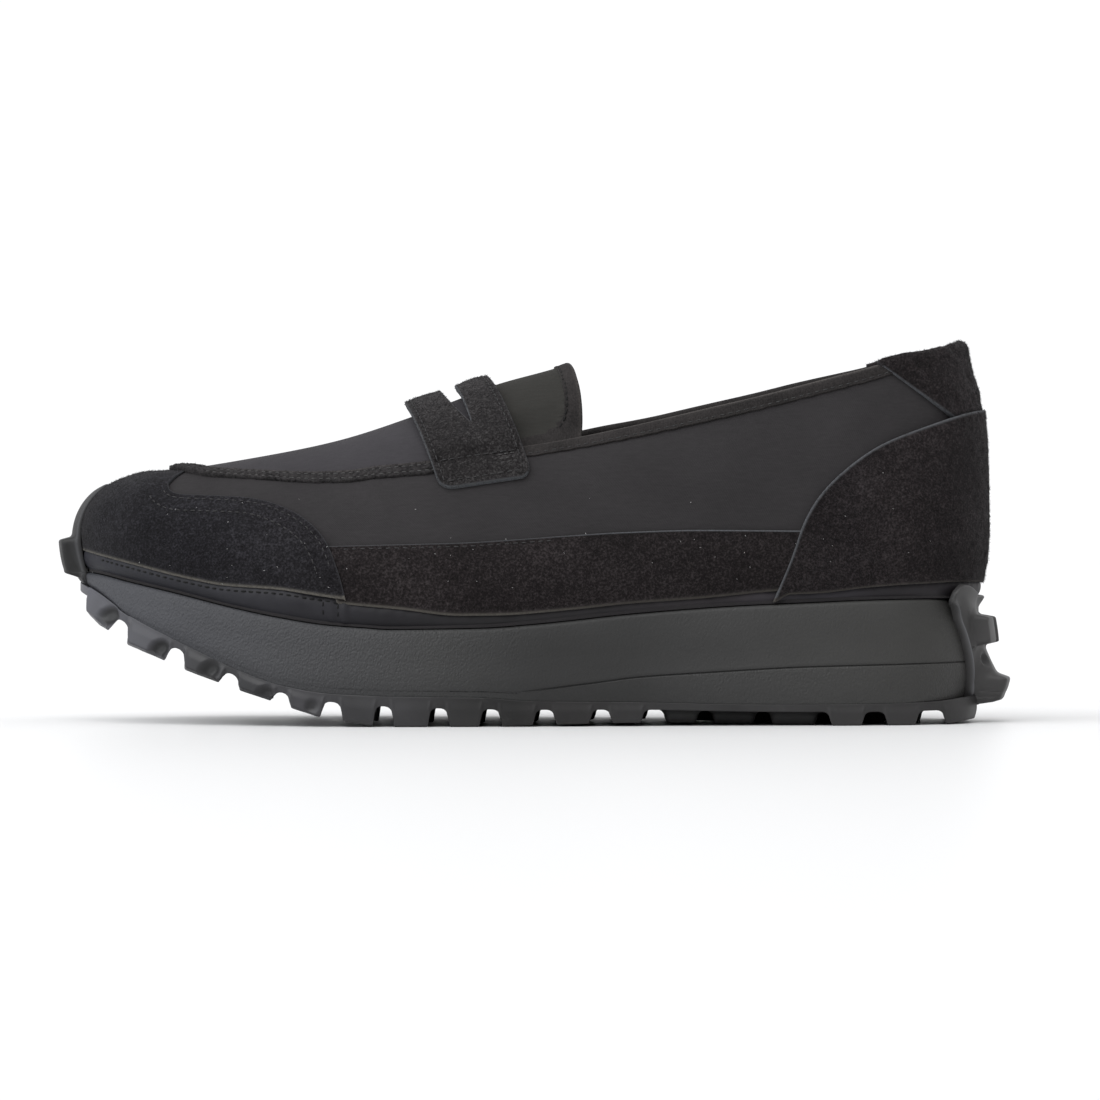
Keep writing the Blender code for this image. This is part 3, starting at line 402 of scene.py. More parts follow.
def locate(x, z, side):
    """Section angle from the toe and t of the face point seen at (x, z) from a side."""
    x, z = np.asarray(x, float), np.asarray(z, float)
    theta = theta_at(x)
    t = np.zeros_like(x)
    for _ in range(9):
        phi = theta if side < 0 else 2 * PI - theta
        t = crossing(phi, lambda q: z[:, None] + 0 * q)
        off = x - last(phi, t)[..., 0]
        theta = np.clip(theta + off / (HALF_LENGTH * np.maximum(np.sin(theta), 0.2)), 0.001, PI - 0.001)
    return theta, t


def side_line(points, side, count, heel=False):
    """Chart points of a curve drawn on one side view as (x, z)."""
    x, z = spline(points, count).T
    theta, t = locate(x, z, side)
    phi = theta if side < 0 else (2 * PI - theta if heel else -theta)
    return np.stack([s_of(phi), t * RISE], axis=-1)


def on_upper(uv, h):
    return skin(phi_of(uv[:, 0]), uv[:, 1] / RISE, np.broadcast_to(np.asarray(h, float), len(uv)))


# ---------------------------------------------------------------- meshes
def make(name, points, faces, mats, index=None, attrs=None, recalc=False, sharp=38.0):
    """Mesh object from points in mm and faces given as index arrays of 3 or 4 columns."""
    me = bpy.data.meshes.new(name)
    p = (np.asarray(points, float) + np.array([FRAME_SHIFT, PLAN_SHIFT, 0.0])) * MM
    faces = [np.asarray(f, np.int32) for f in faces if len(f)]
    loops = np.concatenate([f.ravel() for f in faces])
    sizes = np.concatenate([np.full(len(f), f.shape[1], np.int32) for f in faces])
    starts = np.concatenate([[0], np.cumsum(sizes)[:-1]]).astype(np.int32)
    me.vertices.add(len(p))
    me.vertices.foreach_set("co", p.astype(np.float32).ravel())
    me.loops.add(len(loops))
    me.loops.foreach_set("vertex_index", loops)
    me.polygons.add(len(sizes))
    me.polygons.foreach_set("loop_start", starts)
    for m in mats:
        me.materials.append(m)
    if index is not None:
        me.polygons.foreach_set("material_index", np.asarray(index, np.int32))
    me.update(calc_edges=True)
    for key, value in (attrs or {}).items():
        value = np.asarray(value, np.float32)
        kind = "FLOAT" if value.ndim == 1 else "FLOAT_VECTOR"
        a = me.attributes.new(key, kind, "POINT")
        a.data.foreach_set("value" if value.ndim == 1 else "vector", value.ravel())
    if recalc:
        bm = bmesh.new()
        bm.from_mesh(me)
        bmesh.ops.recalc_face_normals(bm, faces=bm.faces)
        bm.to_mesh(me)
        bm.free()
    me.validate()
    me.shade_smooth()
    if sharp:
        me.set_sharp_from_angle(angle=math.radians(sharp))
    ob = bpy.data.objects.new(name, me)
    bpy.context.scene.collection.objects.link(ob)
    return ob


def mend(ob):
    """Close pinholes and drop faces without area."""
    bm = bmesh.new()
    bm.from_mesh(ob.data)
    bmesh.ops.dissolve_degenerate(bm, dist=1e-7, edges=bm.edges)
    bmesh.ops.holes_fill(bm, edges=[e for e in bm.edges if e.is_boundary], sides=6)
    bm.to_mesh(ob.data)
    bm.free()


def settle(ob, slot, *nodes):
    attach(ob, "root")
    if nodes:
        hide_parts(*nodes)
    return ob


def grid(rows, cols, wrap=False, start=0):
    """Quads over a rows x cols grid; columns may close on themselves."""
    r, c = np.meshgrid(np.arange(rows - 1), np.arange(cols if wrap else cols - 1), indexing="ij")
    d = (c + 1) % cols
    return (start + np.stack([r * cols + c, r * cols + d, (r + 1) * cols + d, (r + 1) * cols + c], -1)).reshape(-1, 4)


def sweep(name, ring, mats, wrap=False, attrs=None):
    """Closed strip: ring[k, n] is point k of a closed profile at station n."""
    k, n = ring.shape[:2]
    q = np.stack([np.arange(k), (np.arange(k) + 1) % k], -1)
    c = np.arange(n if wrap else n - 1)
    d = (c + 1) % n
    faces = [np.concatenate([np.stack([a * n + c, a * n + d, b * n + d, b * n + c], -1) for a, b in q])]
    if not wrap:
        first, final = np.arange(k) * n, np.arange(k) * n + n - 1
        faces += [np.array([first]), np.array([final[::-1]])]
    flat = {key: np.asarray(v).reshape(k * n, *np.asarray(v).shape[2:]) for key, v in (attrs or {}).items()}
    return make(name, ring.reshape(-1, 3), faces, mats, attrs=flat, recalc=True)


def rim_edges(tris):
    """Directed edges that only one triangle uses."""
    e = np.concatenate([tris[:, [0, 1]], tris[:, [1, 2]], tris[:, [2, 0]]])
    key = np.sort(e, axis=1)
    _, first, count = np.unique(key, axis=0, return_index=True, return_counts=True)
    return e[first[count == 1]]


def inside(p, loop):
    x, y = p[:, 0], p[:, 1]
    hit = np.zeros(len(p), bool)
    a, b = loop, np.roll(loop, -1, axis=0)
    for (x0, y0), (x1, y1) in zip(a, b):
        if y0 == y1:
            continue
        m = (y0 > y) != (y1 > y)
        hit ^= m & (x < (x1 - x0) * (y - y0) / (y1 - y0) + x0)
    return hit


def polyline_distance(p, loops):
    """Distance from points to closed polylines, and the nearest vertex's number."""
    pts = np.concatenate(loops)
    nxt = np.concatenate([np.roll(np.arange(len(l)), -1) + o for l, o in
                          zip(loops, np.cumsum([0] + [len(l) for l in loops[:-1]]))])
    prv = np.empty_like(nxt)
    prv[nxt] = np.arange(len(nxt))
    dim = pts.shape[1]
    tree = kdtree.KDTree(len(pts))
    for i, q in enumerate(pts):
        tree.insert((*q, 0.0) if dim == 2 else q, i)
    tree.balance()
    near = np.array([tree.find((*q, 0.0) if dim == 2 else q)[1] for q in p], int) if len(p) else np.zeros(0, int)
    best = np.full(len(p), 1e9)
    for a, b in ((near, nxt[near]), (prv[near], near)):
        A, B = pts[a], pts[b]
        ab = B - A
        u = np.clip(((p - A) * ab).sum(1) / np.maximum((ab * ab).sum(1), 1e-12), 0, 1)
        best = np.minimum(best, np.linalg.norm(A + ab * u[:, None] - p, axis=1))
    return best, near


def area_of(loop):
    x, y = loop.T
    return 0.5 * np.sum(x * np.roll(y, -1) - np.roll(x, -1) * y)


def resample(loop, chart, gap):
    p = chart(loop, 0.0)
    p = np.vstack([p, p[:1]])
    s = np.concatenate([[0], np.cumsum(np.linalg.norm(np.diff(p, axis=0), axis=1))])
    n = max(12, int(round(s[-1] / gap)))
    q = np.linspace(0, s[-1], n, endpoint=False)
    uv = np.vstack([loop, loop[:1]])
    return np.stack([np.interp(q, s, uv[:, k]) for k in (0, 1)], axis=-1)


def inward(loop, chart):
    """Chart step that goes 1 mm to the left of a loop's run."""
    e = 0.02
    pu = (chart(loop + [e, 0], 0.0) - chart(loop - [e, 0], 0.0)) / (2 * e)
    pv = (chart(loop + [0, e], 0.0) - chart(loop - [0, e], 0.0)) / (2 * e)
    p = chart(loop, 0.0)
    run = np.roll(p, -1, axis=0) - np.roll(p, 1, axis=0)
    go = unit(np.cross(unit(np.cross(pu, pv)), run))
    a, b, c = (pu * pu).sum(1), (pu * pv).sum(1), (pv * pv).sum(1)
    r1, r2 = (pu * go).sum(1), (pv * go).sum(1)
    det = np.maximum(a * c - b * b, 1e-9)
    return np.stack([(c * r1 - b * r2) / det, (a * r2 - b * r1) / det], -1)


def triangulate(points, edges):
    out = delaunay_2d_cdt([Vector(q) for q in points], [tuple(e) for e in edges], [], 0, 1e-6, False)
    uv = np.array([(v[0], v[1]) for v in out[0]])
    tris = np.array([f for f in out[2] if len(f) == 3], int)
    return uv, tris


class Patch:
    """A region of a chart, triangulated with rows of points along its edges."""

    def __init__(self, chart, loops, rings, pitch, gap=0.45, flow=None):
        self.chart = chart
        loops = [resample(np.asarray(l, float), chart, gap) for l in loops]
        loops = [l if (area_of(l) > 0) == (k == 0) else l[::-1] for k, l in enumerate(loops)]
        self.loops = loops
        self.flat = [chart(l, 0.0) for l in loops]
        self.go = [inward(l, chart) for l in loops]
        points, edges, base = [], [], 0
        for l in loops:
            n = len(l)
            points.append(l)
            edges += [(base + i, base + (i + 1) % n) for i in range(n)]
            base += n
        for d in rings:
            for l, go in zip(loops, self.go):
                q = l + go * d
                keep = self.within(q)
                far, _ = polyline_distance(chart(q, 0.0), self.flat)
                keep &= far > 0.93 * d
                ids = np.cumsum(keep) - 1 + base
                for i in np.nonzero(keep & np.roll(keep, -1))[0]:
                    j = (i + 1) % len(l)
                    edges.append((ids[i], ids[j]))
                points.append(q[keep])
                base += int(keep.sum())
        lo, hi = loops[0].min(0), loops[0].max(0)
        gx = np.arange(lo[0], hi[0], pitch)
        gy = np.arange(lo[1], hi[1], pitch * 0.866)
        X, Y = np.meshgrid(gx, gy)
        X = X + (np.arange(len(gy)) % 2 * pitch / 2)[:, None]
        q = np.stack([X.ravel(), Y.ravel()], -1)
        q = q[self.within(q)]
        far, _ = polyline_distance(chart(q, 0.0), self.flat)
        points.append(q[far > max(rings) + 0.55 * pitch])
        uv, tris = triangulate(np.concatenate(points), edges)
        mid = uv[tris].mean(1)
        tris = tris[self.within(mid)]
        used, back = np.unique(tris, return_inverse=True)
        self.uv, self.tris = uv[used], back.reshape(-1, 3)
        a, b, c = (self.uv[self.tris[:, k]] for k in range(3))
        turn = (b[:, 0] - a[:, 0]) * (c[:, 1] - a[:, 1]) - (b[:, 1] - a[:, 1]) * (c[:, 0] - a[:, 0])
        self.tris = np.where((turn > 0)[:, None], self.tris, self.tris[:, ::-1])
        self.p0 = chart(self.uv, 0.0)
        self.d, self.near = polyline_distance(self.p0, self.flat)
        self.rim = rim_edges(self.tris)
        self.d[np.unique(self.rim)] = 0.0

    def within(self, q):
        keep = inside(q, self.loops[0])
        for hole in self.loops[1:]:
            keep &= ~inside(q, hole)
        return keep

    def solid(self, name, top, low, mats, attrs=None, rim_rows=2, tri_index=None, rim_index=0, flip=False,
              gain=1.0, width=0.42):
        """Closed piece between two heights over the patch."""
        n = len(self.uv)
        top = np.broadcast_to(np.asarray(top, float), n)
        low = np.broadcast_to(np.asarray(low, float), n)
        edge = np.unique(self.rim)
        slot = np.full(n, -1)
        slot[edge] = np.arange(len(edge))
        self.top = self.chart(self.uv, top)
        points = [self.top, self.chart(self.uv, low)]
        where = [np.arange(n), np.arange(n)]
        for k in range(1, rim_rows + 1):
            q = k / (rim_rows + 1)
            points.append(self.chart(self.uv[edge], top[edge] * (1 - q) + low[edge] * q))
            where.append(edge)
        a, b = self.rim[:, 0], self.rim[:, 1]
        rows = [(a, b)]
        for k in range(rim_rows):
            o = 2 * n + k * len(edge)
            rows.append((slot[a] + o, slot[b] + o))
        rows.append((a + n, b + n))
        quads = np.concatenate([np.stack([r1[1], r1[0], r2[0], r2[1]], -1) for r1, r2 in zip(rows, rows[1:])])
        tri_top, tri_low = self.tris, self.tris[:, ::-1] + n
        if flip:
            tri_top, tri_low, quads = tri_top[:, ::-1], tri_low[:, ::-1], quads[:, ::-1]
        at = np.concatenate(where)
        extra = {key: np.asarray(v)[at] for key, v in (attrs or {}).items()}
        pale = np.broadcast_to(np.asarray(gain, float), n)
        broad = np.broadcast_to(np.asarray(width, float), n)
        # cut paints the pale raw-edge colour on the rims and a narrow band inside them: partly the suede's own cut
        # edge, partly painted highlight; gain sets how pale it is
        cut = np.concatenate([np.clip(1.25 * (1 - self.d / broad), 0, 1), np.full(len(at) - n, 1.0)])
        extra["cut"] = cut * pale[at]
        extra["surf"] = np.column_stack([self.uv[at], np.zeros(len(at))])
        ti = np.zeros(len(tri_top), int) if tri_index is None else tri_index
        index = np.concatenate([ti, ti, np.full(len(quads), rim_index)])
        return make(name, np.concatenate(points), [np.concatenate([tri_top, tri_low]), quads], mats, index, extra)

    def along(self, start, end, inset, height, loop=0):
        """Points and normals of a row beside part of an edge, by nearest edge points."""
        l, go = self.loops[loop], self.go[loop]
        n = len(l)
        i = int(np.argmin(((self.flat[loop] - start) ** 2).sum(1)))
        j = int(np.argmin(((self.flat[loop] - end) ** 2).sum(1)))
        ids = np.arange(i, j + 1 if j >= i else j + 1 + n) % n
        uv = l[ids] + go[ids] * inset
        return self.row(uv, height)

    def row(self, uv, height):
        p = self.chart(uv, height)
        e = 0.05
        pu = self.chart(uv + [e, 0], height) - self.chart(uv - [e, 0], height)
        pv = self.chart(uv + [0, e], height) - self.chart(uv - [0, e], height)
        return p, unit(np.cross(pu, pv))


class Thread:
    """Sewn rows, each stitch a short grain with its ends pulled into the cloth."""
    ST = np.array([-0.5, -0.34, 0.0, 0.34, 0.5])
    FAT = np.array([0.5, 0.95, 1.0, 0.95, 0.5])
    UP = np.array([-1.1, 0.05, 0.35, 0.05, -1.1])

    def __init__(self):
        self.rows = []

    def sew(self, path, normal, pitch=2.3, length=1.8, radius=0.23, lean=0.0):
        s = np.concatenate([[0], np.cumsum(np.linalg.norm(np.diff(path, axis=0), axis=1))])
        if s[-1] < pitch:
            return
        count = max(1, int(s[-1] / pitch))
        q = (np.arange(count) + 0.5) * s[-1] / count
        at = np.stack([np.interp(q, s, path[:, k]) for k in range(3)], -1)
        nn = unit(np.stack([np.interp(q, s, normal[:, k]) for k in range(3)], -1))
        fore = np.stack([np.interp(q + 0.6, s, path[:, k]) for k in range(3)], -1)
        back = np.stack([np.interp(q - 0.6, s, path[:, k]) for k in range(3)], -1)
        dd = unit(fore - back)
        side = unit(np.cross(nn, dd))
        dd = unit(dd + side * (lean + RNG.normal(0, 0.05, (count, 1))))
        side = unit(np.cross(nn, dd))
        size = length * (1 + RNG.normal(0, 0.05, (count, 1, 1, 1)))
        a = np.arange(6) * PI / 3
        ring = (self.ST[None, :, None, None] * size * dd[:, None, None, :]
                + radius * self.FAT[None, :, None, None]
                * (np.cos(a)[None, None, :, None] * side[:, None, None, :]
                   + np.sin(a)[None, None, :, None] * nn[:, None, None, :])
                + radius * self.UP[None, :, None, None] * nn[:, None, None, :])
        self.rows.append((at[:, None, None, :] + ring).reshape(count, -1, 3))

    def build(self, name, mat):
        p = np.concatenate(self.rows)
        count = len(p)
        quads = grid(5, 6, wrap=True)
        caps = np.array([[5, 4, 3, 2, 1, 0], [24, 25, 26, 27, 28, 29]])
        off = (np.arange(count) * 30)[:, None, None]
        return make(name, p.reshape(-1, 3), [(quads[None] + off).reshape(-1, 4), (caps[None] + off).reshape(-1, 6)],
                    [mat], sharp=0)


def nap(name, patches, mat, per_mm2, length, thick=0.05, lean=(0.25, 0.0, -0.75)):
    """Short suede fibres: slim closed spikes standing on the patches' faces."""
    pts = []
    for patch in patches:
        a, b, c = (patch.top[patch.tris[:, k]] for k in range(3))
        n = np.cross(b - a, c - a)
        area = 0.5 * np.linalg.norm(n, axis=1)
        n = unit(n)
        count = int(area.sum() * per_mm2)
        pick = RNG.choice(len(area), count, p=area / area.sum())
        r1, r2 = np.sqrt(RNG.random(count)), RNG.random(count)
        p = a[pick] * (1 - r1)[:, None] + b[pick] * (r1 * (1 - r2))[:, None] + c[pick] * (r1 * r2)[:, None]
        n = n[pick]
        lay = np.array(lean) + RNG.normal(0, 0.55, (count, 3))
        lay -= n * (lay * n).sum(1, keepdims=True)
        go = unit(n * RNG.uniform(0.35, 1.0, (count, 1)) + lay * 0.9)
        size = length * RNG.uniform(0.5, 1.35, (count, 1))
        side = unit(np.cross(go, n + 0.01))
        other = np.cross(go, side)
        w = thick * RNG.uniform(0.8, 1.5, (count, 1))
        root = p - n * 0.08
        quad = np.stack([root + side * w, root - side * w * 0.5 + other * w * 0.87,
                         root - side * w * 0.5 - other * w * 0.87, root + go * size], 1)
        pts.append(quad)
    p = np.concatenate(pts)
    f = np.array([[0, 1, 3], [1, 2, 3], [2, 0, 3], [0, 2, 1]])
    faces = (f[None] + (np.arange(len(p)) * 4)[:, None, None]).reshape(-1, 3)
    return make(name, p.reshape(-1, 3), [faces], [mat], sharp=0)


# ---------------------------------------------------------------- materials
class Look:
    """One procedural material, built node by node."""

    def __init__(self, name, **sockets):
        self.m = bpy.data.materials.new(name)
        self.m.use_nodes = True
        self.nt = self.m.node_tree
        self.bsdf = self.nt.nodes["Principled BSDF"]
        for key, value in sockets.items():
            self.bsdf.inputs[key.replace("_", " ")].default_value = value
        self.place = self.node("ShaderNodeTexCoord").outputs["Object"]

    def node(self, kind, props=None, **inputs):
        n = self.nt.nodes.new(kind)
        for key, value in (props or {}).items():
            setattr(n, key, value)
        for key, value in inputs.items():
            s = n.inputs[int(key[1:])] if key[0] == "i" and key[1:].isdigit() else n.inputs[key.replace("_", " ")]
            if hasattr(value, "is_output") or isinstance(value, bpy.types.NodeSocket):
                self.nt.links.new(value, s)
            else:
                s.default_value = value
        return n

    def math(self, op, a, b=0.0, clamp=False):
        return self.node("ShaderNodeMath", {"operation": op, "use_clamp": clamp}, i0=a, i1=b).outputs[0]

    def noise(self, size_mm, detail=2.0, rough=0.5, vector=None, distort=0.0):
        return self.node("ShaderNodeTexNoise", Vector=vector or self.place, Scale=1000.0 / size_mm,
                         Detail=detail, Roughness=rough, Distortion=distort).outputs["Fac"]

    def stretched(self, scale, turn=(0.0, 0.0, 0.0), vector=None):
        return self.node("ShaderNodeMapping", Vector=vector or self.place, Scale=scale, Rotation=turn).outputs[0]

    def attr(self, name, vector=False):
        n = self.node("ShaderNodeAttribute", {"attribute_name": name})
        return n.outputs["Vector" if vector else "Fac"]

    def ramp(self, fac, *stops):
        n = self.node("ShaderNodeValToRGB", Fac=fac)
        e = n.color_ramp.elements
        while len(e) < len(stops):
            e.new(0.5)
        for item, (at, colour) in zip(e, stops):
            item.position = at
            item.color = (*colour, 1.0)
        return n.outputs["Color"]

    def span(self, value, a0, a1, b0, b1):
        n = self.node("ShaderNodeMapRange", i0=value, i1=a0, i2=a1, i3=b0, i4=b1)
        return n.outputs[0]

    def mix(self, fac, a, b, blend="MIX"):
        n = self.node("ShaderNodeMix", {"data_type": "RGBA", "blend_type": blend})
        for s, v in ((n.inputs[0], fac), (n.inputs[6], a), (n.inputs[7], b)):
            if isinstance(v, bpy.types.NodeSocket):
                self.nt.links.new(v, s)
            else:
                s.default_value = v if isinstance(v, float) else (*v, 1.0)
        return n.outputs[2]

    def along(self, *stops):
        """Painted light and shade that change along the shoe: stops of (x in mm, colour)."""
        x = self.node("ShaderNodeSeparateXYZ", Vector=self.place).outputs[0]
        return self.ramp(self.span(x, -0.15, 0.15, 0.0, 1.0), *[((at + 150) / 300, c) for at, c in stops])

    def colour(self, socket):
        self.nt.links.new(socket, self.bsdf.inputs["Base Color"])

    def rough(self, socket):
        self.nt.links.new(socket, self.bsdf.inputs["Roughness"])

    def bump(self, *layers):
        """layers of (height socket, strength, millimetres)."""
        normal = None
        for height, strength, mm in layers:
            n = self.node("ShaderNodeBump", Height=height, Strength=strength, Distance=mm * MM)
            if normal is not None:
                self.nt.links.new(normal, n.inputs["Normal"])
            normal = n.outputs["Normal"]
        self.nt.links.new(normal, self.bsdf.inputs["Normal"])


def nylon_look(name, dark, light, crown=None):
    k = Look(name, Roughness=0.85, Specular_IOR_Level=0.14)
    surf = k.attr("surf", vector=True)
    sep = k.node("ShaderNodeSeparateXYZ", Vector=surf)
    pitch = 2 * PI / 0.62
    warp = k.math("SINE", k.math("MULTIPLY", sep.outputs[0], pitch))
    weft = k.math("SINE", k.math("MULTIPLY", sep.outputs[1], pitch))
    weave = k.math("MULTIPLY", warp, weft)
    slub = k.noise(1.0, 2.0, 0.6, k.stretched((0.3, 1.0, 1.6)))
    cloud = k.noise(26.0, 2.0)
    fine = k.noise(0.35, 1.0)
    tone = k.math("ADD", k.math("MULTIPLY", cloud, 0.55), k.math("MULTIPLY", slub, 0.45))
    cloth = k.ramp(tone, (0.30, dark), (0.70, light))
    # crown colours paint the upward-facing apron lighter: painted light
    if crown:
        cloth = k.mix(k.attr("apron"), cloth, k.ramp(tone, (0.30, crown[0]), (0.70, crown[1])))
    k.colour(cloth)
    k.rough(k.span(fine, 0.3, 0.7, 0.78, 0.90))
    k.bump((weave, 0.20, 0.05), (slub, 0.16, 0.10), (cloud, 0.20, 1.0))
    return k.m


def suede_look(name, dark, mid, light, cut=(0.098, 0.104, 0.112), tan=(0.120, 0.112, 0.098), painted_shade=()):
    k = Look(name, Roughness=0.96, Specular_IOR_Level=0.10, Sheen_Weight=0.05, Sheen_Roughness=0.55,
             Sheen_Tint=(0.75, 0.74, 0.76, 1.0))
    tuft = k.noise(0.62, 3.0, 0.66)
    clump = k.noise(1.7, 2.0, 0.55)
    brush = k.noise(17.0, 3.0, 0.5, k.stretched((0.6, 1.0, 1.0)))
    tone = k.math("ADD", k.math("MULTIPLY", tuft, 0.68),
                  k.math("ADD", k.math("MULTIPLY", clump, 0.22), k.math("MULTIPLY", brush, 0.20)))
    nap_colour = k.ramp(tone, (0.38, dark), (0.55, mid), (0.72, light))
    # multiply the nap colour by painted shade that changes along the shoe
    if painted_shade:
        nap_colour = k.mix(1.0, nap_colour, k.along(*painted_shade), "MULTIPLY")
    # raw-edge colour: cut is pale and bluish, partly painted highlight; tan is the lower edges' own tan colour
    raw = k.mix(k.attr("tan"), cut, tan)
    raw = k.mix(k.span(tuft, 0.35, 0.75, 0.0, 0.5), raw, mid)
    k.colour(k.mix(k.attr("cut"), nap_colour, raw))
    k.bump((brush, 0.25, 0.8), (clump, 0.30, 0.25), (tuft, 0.85, 0.24))
    return k.m


def binding_look(name, dark, light, grit=0.55, relief=0.12):
    k = Look(name, Roughness=0.82, Specular_IOR_Level=0.14)
    surf = k.attr("surf", vector=True)
    sep = k.node("ShaderNodeSeparateXYZ", Vector=surf)
    rib = k.math("SINE", k.math("MULTIPLY", sep.outputs[0], 2 * PI / 0.75))
    fuzz = k.noise(grit, 2.0, 0.6)
    cloud = k.noise(9.0, 2.0)
    tone = k.math("ADD", k.math("MULTIPLY", fuzz, 0.6), k.math("MULTIPLY", cloud, 0.4))
    cloth = k.ramp(tone, (0.32, dark), (0.68, light))
    # a paler line along the binding's raised edges, set by an attribute on each piece
    lighter = k.math("MULTIPLY", k.attr("lighter"), k.span(fuzz, 0.25, 0.65, 0.35, 1.0))
    k.colour(k.mix(lighter, cloth, (0.082, 0.074, 0.070)))
    k.bump((rib, 0.22, 0.10), (fuzz, 0.35 if relief < 0.2 else 0.9, relief))
    return k.m


def lining_look(name, dark, light):
    k = Look(name, Roughness=0.88, Specular_IOR_Level=0.2, Sheen_Weight=0.25, Sheen_Roughness=0.5)
    surf = k.attr("surf", vector=True)
    sep = k.node("ShaderNodeSeparateXYZ", Vector=surf)
    a = k.math("ADD", sep.outputs[0], sep.outputs[1])
    b = k.math("SUBTRACT", sep.outputs[0], sep.outputs[1])
    knit = k.math("MULTIPLY", k.math("SINE", k.math("MULTIPLY", a, 2 * PI / 1.5)),
                  k.math("SINE", k.math("MULTIPLY", b, 2 * PI / 1.5)))
    fuzz = k.noise(0.7, 2.0, 0.6)
    k.colour(k.ramp(k.math("ADD", k.math("MULTIPLY", fuzz, 0.7), k.math("MULTIPLY", k.noise(12.0), 0.3)),
                    (0.3, dark), (0.7, light)))
    k.bump((knit, 0.35, 0.18), (fuzz, 0.3, 0.15))
    return k.m


def foam_look(name):
    k = Look(name, Roughness=0.60, Specular_IOR_Level=0.34)
    grain = k.attr("grain")
    slant = k.stretched((1.0, 1.0, 0.75), (0.0, 0.75, 0.0))
    cells = k.node("ShaderNodeTexVoronoi", {"feature": "SMOOTH_F1"}, Vector=slant, Scale=1000.0 / 0.56,
                   Smoothness=0.6, Randomness=1.0).outputs["Distance"]
    creep = k.noise(0.62, 3.0, 0.6, slant, 0.3)
    fine = k.noise(0.4, 2.0, 0.6)
    cloud = k.noise(34.0, 3.0, 0.55)
    streak = k.noise(10.0, 3.0, 0.6, k.stretched((0.3, 1.0, 1.2)))
    tone = k.math("ADD", k.math("MULTIPLY", cloud, 0.6), k.math("MULTIPLY", streak, 0.4))
    base = k.ramp(tone, (0.32, (0.0415, 0.0415, 0.0415)), (0.70, (0.0545, 0.0545, 0.0545)))
    # painted light and shade along the midsole: lighter and bluer at the toe, darkest under the arch
    painted_shade = k.along((-128, (0.80, 0.825, 0.96)), (-68, (0.61, 0.615, 0.67)), (-28, (0.56, 0.56, 0.56)),
                    (4, (0.325, 0.322, 0.318)), (28, (0.365, 0.362, 0.356)), (58, (0.49, 0.485, 0.475)), (118, (0.62, 0.61, 0.575)))
    # the grained parts are also made lighter towards the bottom
    low = k.node("ShaderNodeSeparateXYZ", Vector=k.place).outputs[2]
    low = k.math("MULTIPLY", k.span(low, 0.008, 0.026, 0.24, 0.0), grain)
    k.colour(k.mix(low, k.mix(1.0, base, painted_shade, "MULTIPLY"), (0.046, 0.0455, 0.046)))
    k.rough(k.span(creep, 0.3, 0.7, 0.50, 0.66))
    pebble = k.math("MULTIPLY", k.math("ADD", k.math("MULTIPLY", cells, 0.9), creep), grain)
    k.bump((pebble, 1.0, 0.22), (fine, 0.12, 0.06))
    return k.m


def rubber_look(name, dark, light, gloss=0.40, painted_shade=()):
    k = Look(name, Roughness=0.52, Specular_IOR_Level=gloss)
    fine = k.noise(0.5, 3.0, 0.6)
    cloud = k.noise(14.0, 3.0, 0.55)
    base = k.ramp(cloud, (0.32, dark), (0.70, light))
    # multiply by painted shade along the tread
    if painted_shade:
        base = k.mix(1.0, base, k.along(*painted_shade), "MULTIPLY")
    lighter = k.mix(k.math("MULTIPLY", k.span(k.noise(2.2, 4.0, 0.7), 0.58, 0.78, 0.0, 1.0), 0.10),
                 base, (0.12, 0.118, 0.114))
    # pale mixes in a painted highlight, used on the heel wrap's bead and the toe wrap's edge
    lighter = k.mix(k.attr("pale"), lighter, (0.105, 0.106, 0.114))
    # hole mixes in painted shade, near black: dimples, set-back lugs and the heel wrap's top lobe
    k.colour(k.mix(k.attr("hole"), lighter, (0.006, 0.006, 0.0065)))
    k.rough(k.span(cloud, 0.3, 0.7, 0.44, 0.58))
    k.bump((fine, 0.14, 0.08), (cloud, 0.12, 0.5))
    return k.m


def band_look(name):
    k = Look(name, Roughness=0.48, Specular_IOR_Level=0.20)
    fine = k.noise(0.5, 2.0, 0.6)
    cloud = k.noise(12.0, 3.0, 0.55)
    base = k.ramp(cloud, (0.3, (0.0203, 0.0195, 0.0225)), (0.7, (0.0342, 0.0333, 0.0375)))
    # painted light and shade along the band: bluer round the toe, darkest near x = -42, lightest on the rear sides
    painted_shade = k.along((-128, (0.53, 0.55, 0.63)), (-100, (0.51, 0.52, 0.57)), (-70, (0.60, 0.60, 0.65)), (-42, (0.35, 0.34, 0.36)),
                    (-12, (0.57, 0.55, 0.52)), (25, (0.66, 0.62, 0.60)), (58, (0.90, 0.80, 0.80)), (85, (0.98, 0.92, 0.98)),
                    (108, (0.58, 0.53, 0.53)))
    k.colour(k.mix(1.0, base, painted_shade, "MULTIPLY"))
    k.rough(k.span(cloud, 0.3, 0.7, 0.46, 0.60))
    k.bump((fine, 0.10, 0.06), (k.noise(3.0, 2.0), 0.15, 0.3))
    return k.m


def thread_look(name, dark, light):
    k = Look(name, Roughness=0.75, Specular_IOR_Level=0.22)
    twist = k.noise(0.45, 2.0, 0.6)
    k.colour(k.ramp(twist, (0.3, dark), (0.7, light)))
    k.bump((twist, 0.4, 0.08))
    return k.m


def fibre_look(name, dark, light):
    k = Look(name, Roughness=0.9, Specular_IOR_Level=0.15, Sheen_Weight=0.05)
    k.colour(k.ramp(k.noise(1.3, 2.0), (0.3, dark), (0.7, light)))
    return k.m


